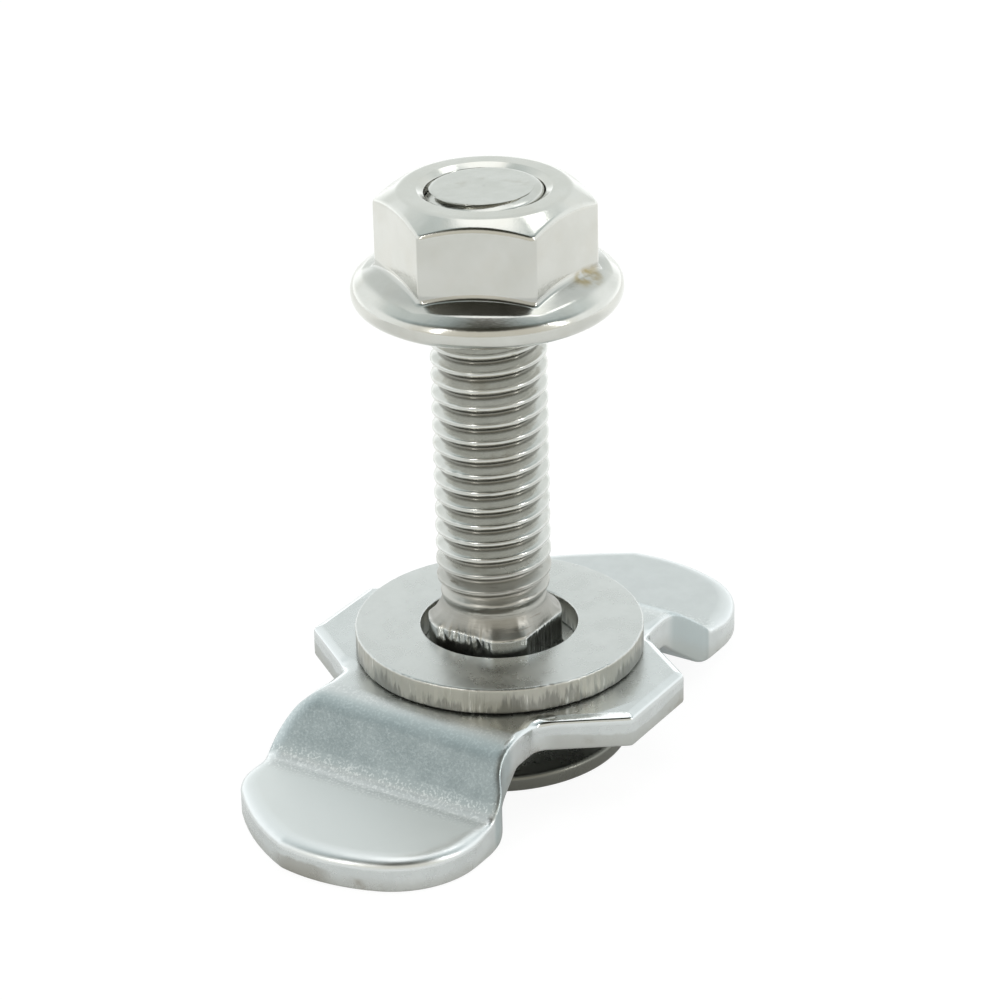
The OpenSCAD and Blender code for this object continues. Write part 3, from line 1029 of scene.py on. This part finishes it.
WASHER_TONES = ((0.58, 0.59, 0.575), (0.63, 0.64, 0.625))
RIM_BLEND = ((washer_high.z - 0.02) * MM, (washer_high.z - 0.22) * MM)
TEAR_TOP = ((washer_low.z + 0.25) * MM, (washer_low.z + 1.35) * MM)
TEAR_PATCH = 0.5 * MM
TEAR_SOFT = 0.45 * MM
washer_steel, tree, shader, place = plated_steel("washer_steel")
grain = use_group(tree, grain_group, place, Scale=4600.0, Dents=0.0)
marks = use_group(tree, line_group, place, Across=(1.0, 1.0, 0.12), Scale=2400.0)
ragged = use_group(tree, line_group, place, Across=(1.0, 1.0, 0.18), Scale=2800.0)
up = split_place(tree, place).outputs["Z"]
on_rim = map_range(tree, up, *RIM_BLEND)
tear_top = map_range(tree, ragged.outputs["Height"], 0.3, 0.7, *TEAR_TOP)
patchy = map_range(tree, noise_texture(tree, place, 260.0, 1.0), 0.35, 0.65, -TEAR_PATCH, TEAR_PATCH)
below_tear = math_node(tree, "SUBTRACT", plus(tree, tear_top, patchy), up)
blotch = map_range(tree, below_tear, -TEAR_SOFT, TEAR_SOFT)
colour = layered(tree, mix_colour(tree, grain.outputs["Cloud"], *WASHER_TONES), [
    (on_rim, 0.85, (0.42, 0.405, 0.35)),
    (times(tree, on_rim, blotch), 0.58, (0.13, 0.13, 0.12)),
    (times(tree, on_rim, marks.outputs["Scratch"]), 0.8, (0.90, 0.89, 0.84)),
])
rough = roughened(tree, grain.outputs["Cloud"], 0.25, 0.33, [(on_rim, 0.06)])
finish(tree, shader, colour, rough, [(times(tree, marks.outputs["Height"], on_rim), 0.8, 0.10)])
flat_washer = piece("flat_washer_dressed", marked, washer_faces, washer_steel)
hand_over(flat_washer, "washer", "flat_washer")

# %% [markdown]
# ## The flange nut
# The nut was forged: a hexagon over a flange with a full round rim. A hexagonal prism cut by a cone
# would give the right chamfer but sharp edges. Here the section is drawn anew at every angle: the wall
# stands at the hexagon's distance in that direction, and the chamfer falls with it, which gives the
# curved upper edges of the flats for free. The flange is slightly crowned.

# %% Nut
nut_low, nut_high = (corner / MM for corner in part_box("flange_nut"))
NUT_Z = nut_low.z
NUT_H = nut_high.z - nut_low.z
FLANGE_R = (nut_high.x - nut_low.x) / 2
NUT_AF = 13.0
NUT_TURN = math.radians(-3)
HEX_EDGE = 0.55
RIM_R = 0.9
RIM_SHARE = 0.98
NUT_STEPS = 7
CROWN_AT = 0.75
CROWN_RISE = 0.11
CROWN_R = 1.0
FLANGE_SLOPE = math.tan(math.radians(27))
FLAT_TOP_R = NUT_AF / 2 - 0.85
TOP_SLOPE = math.tan(math.radians(30))
MOUTH_R = 4.5
MOUTH_DEPTH = 0.28
BORE_R = 4.0
FOOT_FILLET = 0.5
CHAMFER_EDGE = 0.5
TOP_BLEND = 1.0
MOUTH_EDGE = 0.12
SIXTH = math.pi / 3

round_centre = (NUT_AF / 2 - HEX_EDGE) / math.cos(SIXTH / 2)
round_reach = math.atan2(HEX_EDGE / 2, round_centre + HEX_EDGE * math.cos(SIXTH / 2))


def hexagon_radius(angle):
    """Distance of the nut's wall from the axis; a rounded corner points along angle 0."""
    off_corner = (angle + SIXTH / 2) % SIXTH - SIXTH / 2
    if abs(off_corner) < round_reach:
        return (round_centre * math.cos(off_corner)
                + math.sqrt(HEX_EDGE ** 2 - (round_centre * math.sin(off_corner)) ** 2))
    return NUT_AF / 2 / math.cos(SIXTH / 2 - abs(off_corner))


def nut_section(angle):
    """The nut's section at an angle, as a closed path that starts and ends in the bore."""
    wall_r = hexagon_radius(angle)
    tangent = math.atan(1 / FLANGE_SLOPE)
    rim_top = (FLANGE_R - RIM_R + RIM_R * math.cos(tangent), RIM_R + RIM_R * math.sin(tangent))
    cone_out = rim_top[1] - (FLANGE_R - rim_top[0]) * FLANGE_SLOPE
    cone_foot = rim_top[1] + (rim_top[0] - wall_r) * FLANGE_SLOPE
    crown_r = wall_r + (rim_top[0] - wall_r) * CROWN_AT
    crown_z = rim_top[1] + (rim_top[0] - crown_r) * FLANGE_SLOPE + (rim_top[0] - wall_r) * CROWN_RISE
    chamfer = NUT_H - (wall_r - FLAT_TOP_R) * TOP_SLOPE
    sink = MOUTH_R - BORE_R
    rim = RIM_R * RIM_SHARE
    return rounded_path([
        (BORE_R, NUT_H / 2, 0), (BORE_R, sink, MOUTH_EDGE), (MOUTH_R, 0, MOUTH_EDGE),
        (FLANGE_R, 0, rim), (FLANGE_R, cone_out, rim), (crown_r, crown_z, CROWN_R),
        (wall_r, cone_foot, FOOT_FILLET), (wall_r, chamfer, CHAMFER_EDGE), (FLAT_TOP_R, NUT_H, TOP_BLEND),
        (MOUTH_R, NUT_H, MOUTH_EDGE), (BORE_R, NUT_H - MOUTH_DEPTH, MOUTH_EDGE),
        (BORE_R, NUT_H / 2, 0)], NUT_STEPS)


FLAT_STEPS = 18
CORNER_STEPS = 8


def swept(section_at, angles, turn=0.0, lift=0.0):
    """Rings of a section that is drawn anew at every angle."""
    meridians = [[Vector((p.x * math.cos(a + turn), p.x * math.sin(a + turn), lift + p.y))
                  for p in section_at(a)] for a in angles]
    return [list(ring_points) for ring_points in zip(*meridians)]


nut_angles = []
for k in range(6):
    corner_start, flat_start = k * SIXTH - round_reach, k * SIXTH + round_reach
    nut_angles += [corner_start + 2 * round_reach * i / CORNER_STEPS for i in range(CORNER_STEPS)]
    nut_angles += [flat_start + (SIXTH - 2 * round_reach) * i / FLAT_STEPS for i in range(FLAT_STEPS)]
nut_points, nut_faces = loft(swept(nut_section, nut_angles, NUT_TURN, NUT_Z)[:-1], closed=True)

STAIN_PLACE = Vector((1.4, -6.6, NUT_Z + 2.5)) * MM
STAIN_REACH = 1.5 * MM
STAIN_FLATTEN = (0.7, 0.7, 2.2)
NUT_TONES = ((0.585, 0.58, 0.54), (0.63, 0.625, 0.59))
nut_steel, tree, shader, place = plated_steel("nut_steel")
grain = use_group(tree, grain_group, place, Scale=3000.0, Dents=0.3)
stains = use_group(tree, stain_group, place, Scale=520.0, Spread=0.52)
brown_spot = placed_stain(tree, place, STAIN_PLACE, STAIN_REACH, STAIN_FLATTEN)
brown_grain = map_range(tree, noise_texture(tree, place, 1500.0, 1.0), 0.20, 0.75)
up = split_place(tree, place).outputs["Z"]
# painted shade: a darker band at the foot of the hexagon, in the corner with the flange
painted_foot_shade = band(tree, up, NUT_Z + 1.95, NUT_Z + 2.35, NUT_Z + 2.75, NUT_Z + 2.95)
colour = layered(tree, mix_colour(tree, grain.outputs["Cloud"], *NUT_TONES), [
    (stains.outputs["Stain"], 0.10, (0.52, 0.47, 0.38)),
    (painted_foot_shade, 0.35, (0.26, 0.27, 0.26)),
    (times(tree, brown_spot, brown_grain), 0.9, (0.29, 0.22, 0.08)),
])
rough = roughened(tree, grain.outputs["Cloud"], 0.13, 0.20, [])
finish(tree, shader, colour, rough, [(grain.outputs["Height"], 0.20, 0.02)])
flange_nut = piece("flange_nut_dressed", nut_points, nut_faces, nut_steel)
hand_over(flange_nut, "nut", "flange_nut")

# %% [markdown]
# ## The stud below its thread
# The head was upset into a wide thin disc, the neck above it pressed square. The neck's two sides along
# the plate are torn at their upper edge and the other two carry the upright lines of a broach; both
# show in the washer's hole. Above them a short cone, still satin from turning, leads to the shank.
# Rings of points that change from the square to the round shank follow it well, and noise with a fixed
# pattern moves the points. The head's top and rim, under the plate, are painted darker as painted
# shade; on the thread the roots are painted darker as painted shade and the crests lighter as a painted
# highlight.

# %% Stud head and neck
stud_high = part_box("stud")[1] / MM
HEAD_R = stud_high.x
HEAD_T = 1.2
HEAD_EDGE = 0.32
STUD_LEN = stud_high.z
NECK_TOP = 9.2
SHOULDER_TOP = 10.5
SHANK_R = 3.55
SHANK_END = 10.55
SATIN_END = 12.5
NECK_EDGE = 0.10
NECK_MEAN_R = 4.25
NECK_TURN_STEPS = 400
NECK_RINGS = 60
SHOULDER_RINGS = 16
SIDE_BLEND = (math.cos(math.radians(32)), math.cos(math.radians(26)))
TEAR_BASE = 0.05
TEAR_NOISE = ((0.16, 2.6, 0.8, 5.0), (0.06, 6.0, 2.0, 9.0))
TEAR_SPAN = (NECK_TOP - 1.9, NECK_TOP - 0.3)
LINE_BASE = 0.03
LINE_NOISE = ((0.06, 7.0, 0.15, 2.0),)
EDGE_SWAY = 0.10
EDGE_NOISE = (5, 7.0)
EDGE_INSET = 0.6
STREAK_DEPTH = 0.03
STREAK_NOISE = (9, 3.0)
SHOULDER_HOLLOW = 1.35
OFF_AXIS = 0.001
HEAD_CAP_R = 0.2
NECK_ROOM = 0.2


def neck_side(angle):
    """How squarely a direction faces a torn side (along the plate) and a broached side (across it)."""
    return [blend_between(abs(share), *SIDE_BLEND) for share in (math.cos(angle), math.sin(angle))]


def tool_marks(base, layers, across, z):
    """Depth of marks on a side, from layers of noise of (depth, scale across, scale up, seed)."""
    depth = base
    for most, across_scale, up_scale, seed in layers:
        depth += most * noise.noise(Vector((across * across_scale, z * up_scale, seed)))
    return max(0.0, depth)


def neck_relief(angle, z):
    """How far the marks of the tools reach into the neck at a place."""
    torn_side, broached = neck_side(angle)
    across = NECK_AF / 2 * (math.tan(angle) if torn_side else 1 / math.tan(angle) if broached else 0.0)
    tears = tool_marks(TEAR_BASE, TEAR_NOISE, across, z)
    lines = tool_marks(LINE_BASE, LINE_NOISE, across, z)
    return torn_side * blend_between(z, *TEAR_SPAN) * tears + broached * lines


def noise_round(angle, scale, seed):
    """Noise that changes round the axis and meets itself after a turn."""
    return noise.noise(Vector((math.cos(angle) * scale, math.sin(angle) * scale, seed)))


def neck_section(angle):
    """Section from the head's top over the neck and the shoulder to the shank."""
    side_r = neck_radius(angle, NECK_AF, NECK_D)
    edge_z = NECK_TOP + EDGE_SWAY * noise_round(angle, *EDGE_NOISE)
    section = []
    for i in range(NECK_RINGS):
        z = HEAD_T + (edge_z - NECK_EDGE - HEAD_T) * i / (NECK_RINGS - 1)
        section.append(Vector((side_r - neck_relief(angle, z), z)))
    top_r = section[-1].x - NECK_EDGE * EDGE_INSET
    streak = STREAK_DEPTH * noise_round(angle, *STREAK_NOISE)
    for i in range(SHOULDER_RINGS + 1):
        t = i / SHOULDER_RINGS
        squareness = (1 - t) ** 2
        foot_r = NECK_MEAN_R + (top_r - NECK_MEAN_R) * squareness
        r = SHANK_R + (foot_r - SHANK_R) * (1 - t) ** SHOULDER_HOLLOW + streak * math.sin(math.pi * t)
        section.append(Vector((r, edge_z + (SHOULDER_TOP - edge_z) * t)))
    return section + [Vector((SHANK_R, SHANK_END))]


neck_angles = [a + OFF_AXIS for a in whole_turn(NECK_TURN_STEPS)]
head_section = rounded_path([
    (HEAD_CAP_R, 0, 0), (HEAD_R, 0, HEAD_EDGE), (HEAD_R, HEAD_T, HEAD_EDGE),
    (NECK_D / 2 + NECK_ROOM, HEAD_T, 0)])
rings = [ring(p.x, p.y, neck_angles) for p in head_section]
body_points, body_faces = loft(rings + swept(neck_section, neck_angles), caps=True)


def combine(tree, *values):
    """A vector socket made of up to three coordinates."""
    node = add(tree, "ShaderNodeCombineXYZ")
    for socket, value in zip(node.inputs, values):
        tree.links.new(value, socket)
    return node.outputs[0]


STUD_TONES = ((0.54, 0.54, 0.505), (0.60, 0.60, 0.57))
THREAD_SPAN = (10.6, 12.0, STUD_LEN - 1.2, STUD_LEN - 0.8)
ROOT_SHADE_BLEND = (3.50 * MM, 3.33 * MM)
CREST_HIGHLIGHT_BLEND = (3.86 * MM, 3.92 * MM)
HEAD_RIM_BLEND = ((HEAD_R - 0.5) * MM, (HEAD_R - 0.2) * MM)
stud_steel, tree, shader, place = plated_steel("stud_steel")
grain = use_group(tree, grain_group, place, Scale=3600.0, Dents=0.3)
upright = use_group(tree, line_group, place, Across=(1.0, 1.0, 0.08), Scale=3600.0)
level = use_group(tree, line_group, place, Across=(0.10, 0.10, 1.0), Scale=4200.0)
stains = use_group(tree, stain_group, place, Scale=420.0, Spread=0.44)
spot = split_place(tree, place)
up = spot.outputs["Z"]
from_axis = vector_math(tree, "LENGTH", combine(tree, spot.outputs["X"], spot.outputs["Y"]))
# the head's top; besides its rougher finish it is painted darker as painted shade under the plate
on_head = map_range(tree, up, (HEAD_T + 0.3) * MM, HEAD_T * MM)
on_neck = band(tree, up, HEAD_T, HEAD_T + 0.4, NECK_TOP - 0.15, NECK_TOP - 0.05)
on_shank = band(tree, up, NECK_TOP - 0.1, NECK_TOP + 0.05, SATIN_END, SATIN_END + 2.5)
on_shoulder = band(tree, up, NECK_TOP - 0.1, NECK_TOP + 0.1, SHOULDER_TOP - 0.3, SHOULDER_TOP + 0.2)
on_thread = band(tree, up, *THREAD_SPAN)
# painted shade in the roots of the thread, darker towards the axis
root_painted_shade = times(tree, on_thread, map_range(tree, from_axis, *ROOT_SHADE_BLEND))
# painted highlight on the crests of the thread
crest_painted_highlight = times(tree, on_thread, map_range(tree, from_axis, *CREST_HIGHLIGHT_BLEND))
# the head's rim near the floor, painted darker still as painted shade
head_rim_painted_shade = times(tree, on_head, map_range(tree, from_axis, *HEAD_RIM_BLEND))
colour = layered(tree, mix_colour(tree, grain.outputs["Cloud"], *STUD_TONES), [
    (stains.outputs["Stain"], 0.35, (0.36, 0.33, 0.26)),
    (on_neck, 0.5, (0.34, 0.37, 0.38)),
    # painted shade: the roots of the thread are painted darker
    (root_painted_shade, 0.80, (0.12, 0.115, 0.095)),
    # painted highlight: the crests of the thread are painted lighter
    (crest_painted_highlight, 0.2, (0.78, 0.78, 0.76)),
    (on_shoulder, 0.75, (0.20, 0.19, 0.17)),
    # painted shade: the head under the plate and its rim are painted darker
    (on_head, 0.9, (0.30, 0.30, 0.27)),
    (head_rim_painted_shade, 0.7, (0.14, 0.14, 0.12)),
    (on_shank, 0.6, (0.36, 0.35, 0.32)),
    (times(tree, on_shank, level.outputs["Scratch"]), 0.7, (0.22, 0.20, 0.17)),
])
rough = roughened(tree, grain.outputs["Cloud"], 0.17, 0.26, [(on_shank, 0.16), (on_head, 0.08)])
finish(tree, shader, colour, rough, [
    (grain.outputs["Height"], 0.25, 0.02),
    (times(tree, upright.outputs["Height"], on_neck), 0.6, 0.06),
    (times(tree, level.outputs["Height"], on_shank), 0.6, 0.05)])
stud_body = piece("stud_head_and_neck", body_points, body_faces, stud_steel)
hand_over(stud_body, "stud", "stud")

# %% [markdown]
# ## The rolled thread
# The thread is a rule made visible: one ridge that climbs 1.25 mm a turn. It is built with Geometry
# Nodes. A flat grid is rolled up, its columns give the angle and its rows lie along the helix, so every
# row keeps one place in the ridge and no ridge gets jagged. The rows past both ends fold into flat
# caps, which are cleaned and closed at the end. At the bottom the ridge fades into the shank as the
# rolling dies leave it, and at the top it runs over a round edge into the flat end.

# %% Thread tree
thread_tree = bpy.data.node_groups.new("rolled_thread", "GeometryNodeTree")
thread_tree.is_modifier = True
thread_tree.interface.new_socket("Geometry", in_out="OUTPUT", socket_type="NodeSocketGeometry")
THREAD_SIZES = {
    "Pitch": 1.25 * MM,
    "Crest Radius": 3.95 * MM,
    "Root Radius": 3.27 * MM,
    "Blank Radius": (SHANK_R + 0.01) * MM,
    "Bottom": 10.2 * MM,
    "Run-out Start": 10.0 * MM,
    "Run-out End": 12.6 * MM,
    "Top": STUD_LEN * MM,
    "End Radius": 3.38 * MM,
    "End Rounding": 0.57 * MM,
    "End Tilt": 0.025,
    "Crest Height": 27.48 * MM,
    "Crest Angle": -147.3 / 360,
    "Crest Land": 0.11,
    "Root Land": 0.06,
    "Crest Seam": 0.03 * MM,
    "Seam Width": 0.16,
    "Nick Depth": 0.05 * MM,
}
SPARE_TURNS = 3
ROWS_PER_TURN = 24
TURN_COLUMNS = 120
for socket, value in THREAD_SIZES.items():
    made = thread_tree.interface.new_socket(socket, in_out="INPUT", socket_type="NodeSocketFloat")
    made.default_value = value
thread_tree.interface.new_socket("Material", in_out="INPUT", socket_type="NodeSocketMaterial")
size = thread_tree.nodes.new("NodeGroupInput").outputs


def calc(operation, a, b=None, clamp=False):
    """A math node of the thread's tree."""
    return math_node(thread_tree, operation, a, b, clamp)


def mul(a, b):
    """A product in the thread's tree."""
    return calc("MULTIPLY", a, b)


def total(a, b):
    """A sum in the thread's tree."""
    return calc("ADD", a, b)


def sub(a, b):
    """A difference in the thread's tree."""
    return calc("SUBTRACT", a, b)


turns = (THREAD_SIZES["Top"] - THREAD_SIZES["Bottom"]) / THREAD_SIZES["Pitch"] + 2 * SPARE_TURNS
row_count = math.ceil(turns * ROWS_PER_TURN)
grid = add(thread_tree, "GeometryNodeMeshGrid", Size_X=1.0, Size_Y=1.0)
grid.inputs["Vertices X"].default_value = TURN_COLUMNS + 1
grid.inputs["Vertices Y"].default_value = row_count + 1
spot = split_place(thread_tree, thread_tree.nodes.new("GeometryNodeInputPosition").outputs[0])
turn_share = total(spot.outputs["X"], 0.5)
angle = mul(turn_share, 2 * math.pi)
row_share = total(spot.outputs["Y"], 0.5)
row_turn = sub(mul(row_share, row_count / ROWS_PER_TURN), SPARE_TURNS)
row_z = total(mul(row_turn, size["Pitch"]), size["Bottom"])
helix_z = total(row_z, mul(turn_share, size["Pitch"]))
end_start = sub(size["Top"], size["End Rounding"])
past_end = calc("MAXIMUM", sub(helix_z, end_start), 0.0)
end_angle = calc("MINIMUM", calc("DIVIDE", past_end, size["End Rounding"]), math.pi / 2)
end_drop = mul(size["End Rounding"], sub(1.0, calc("SINE", end_angle)))
z = calc("MINIMUM", calc("MAXIMUM", helix_z, size["Bottom"]), sub(size["Top"], end_drop))
print("thread grid of", TURN_COLUMNS, "columns and", row_count, "rows")

# %% Thread ridge
def share_between(value, low, high, smooth=True):
    """0 at low, 1 at high, in the thread's tree."""
    return map_range(thread_tree, value, low, high, smooth=smooth)


def between(low, high, share):
    """The value a share of the way from low to high."""
    return total(low, mul(sub(high, low), share))


from_crest = sub(calc("DIVIDE", sub(row_z, size["Crest Height"]), size["Pitch"]),
                  mul(size["Crest Angle"], -1.0))
off_crest = mul(calc("PINGPONG", from_crest, 0.5), 2.0)
root_start = sub(1.0, size["Root Land"])
straight = share_between(off_crest, size["Crest Land"], root_start, smooth=False)
soft = share_between(off_crest, size["Crest Land"], root_start)
ridge = sub(1.0, between(straight, soft, 0.7))
seam = sub(1.0, share_between(off_crest, 0.0, size["Seam Width"]))
rolled = between(size["Root Radius"], size["Crest Radius"], ridge)
rolled = sub(rolled, mul(seam, size["Crest Seam"]))
rolled_in = share_between(z, size["Run-out Start"], size["Run-out End"])
radius = between(size["Blank Radius"], rolled, rolled_in)
quarter = mul(size["End Rounding"], math.pi / 2)
flat_way = calc("MAXIMUM", sub(past_end, quarter), 0.0)
closing = calc("SUBTRACT", 1.0, calc("DIVIDE", flat_way, size["Pitch"]), clamp=True)
end_r = total(size["End Radius"], mul(size["End Rounding"], calc("COSINE", end_angle)))
end_r = mul(end_r, closing)
chamfered = calc("MINIMUM", radius, end_r)
WEAR_STRETCH = 4 * MM
WEAR_SCALE = 5.0
WEAR_EDGE = (0.58, 0.72)
around = combine(thread_tree, calc("COSINE", angle), calc("SINE", angle), mul(z, 1 / WEAR_STRETCH))
worn = share_between(noise_texture(thread_tree, around, WEAR_SCALE), *WEAR_EDGE)
nicks = mul(worn, mul(ridge, size["Nick Depth"]))
kept = mul(calc("GREATER_THAN", helix_z, sub(size["Bottom"], size["Pitch"])),
            calc("LESS_THAN", helix_z, total(size["Top"], mul(size["Pitch"], 2.0))))
final_radius = mul(sub(chamfered, nicks), kept)
high_side = math.atan2(rightwards.y + TOWARDS_CAMERA.y, rightwards.x + TOWARDS_CAMERA.x)
sideways = mul(final_radius, calc("COSINE", sub(angle, high_side)))
tilt = mul(sub(sideways, size["End Radius"]), size["End Tilt"])
tilt_start = sub(size["Top"], mul(size["End Rounding"], 2.0))
near_end = share_between(z, tilt_start, size["Top"], smooth=False)
tilted_z = total(z, mul(tilt, near_end))
print("thread tree has", len(thread_tree.nodes), "nodes so far")

# %% Thread piece
point = combine(thread_tree, mul(final_radius, calc("COSINE", angle)),
                mul(final_radius, calc("SINE", angle)), tilted_z)
STEP_KINDS = ("SetPosition", "MergeByDistance", "SetShadeSmooth", "RealizeInstances", "SetMaterial")
MERGE_DISTANCE = 0.001 * MM
steps = [thread_tree.nodes.new("GeometryNode" + kind) for kind in STEP_KINDS]
steps[1].inputs["Distance"].default_value = MERGE_DISTANCE
thread_tree.links.new(point, steps[0].inputs["Position"])
thread_tree.links.new(size["Material"], steps[4].inputs["Material"])
for before, after in zip([grid] + steps, steps):
    thread_tree.links.new(before.outputs[0], after.inputs["Geometry"])
thread_end = thread_tree.nodes.new("NodeGroupOutput")
thread_tree.links.new(steps[-1].outputs[0], thread_end.inputs["Geometry"])

END_JOIN = 0.01
SHARP_RIDGE = math.radians(40)


def close_ends(mesh):
    """Drops folded faces in the lowest plane, joins points that nearly meet and closes the holes."""
    shell = bmesh.new()
    shell.from_mesh(mesh)
    bottom = min(v.co.z for v in shell.verts) + SEAM * MM
    folded = [f for f in shell.faces if max(v.co.z for v in f.verts) < bottom]
    bmesh.ops.delete(shell, geom=folded, context="FACES")
    bmesh.ops.remove_doubles(shell, verts=shell.verts, dist=END_JOIN * MM)
    bmesh.ops.holes_fill(shell, edges=[e for e in shell.edges if e.is_boundary], sides=0)
    bmesh.ops.recalc_face_normals(shell, faces=shell.faces)
    print("thread has", sum(not e.is_manifold for e in shell.edges), "open edges")
    shell.to_mesh(mesh)
    shell.free()


stud_thread = bpy.data.objects.new("stud_thread", bpy.data.meshes.new("stud_thread"))
bpy.context.scene.collection.objects.link(stud_thread)
roller = stud_thread.modifiers.new("rolled_thread", "NODES")
roller.node_group = thread_tree
names = {item.name: item.identifier for item in thread_tree.interface.items_tree if item.in_out == "INPUT"}
for socket, value in THREAD_SIZES.items():
    roller[names[socket]] = value
roller[names["Material"]] = stud_steel
evaluated = stud_thread.evaluated_get(bpy.context.evaluated_depsgraph_get())
rolled_mesh = bpy.data.meshes.new_from_object(evaluated)
stud_thread.modifiers.remove(roller)
close_ends(rolled_mesh)
rolled_mesh.set_sharp_from_angle(angle=SHARP_RIDGE)
stud_thread.data = rolled_mesh
hand_over(stud_thread, "stud")
print("thread has", len(rolled_mesh.polygons), "faces")
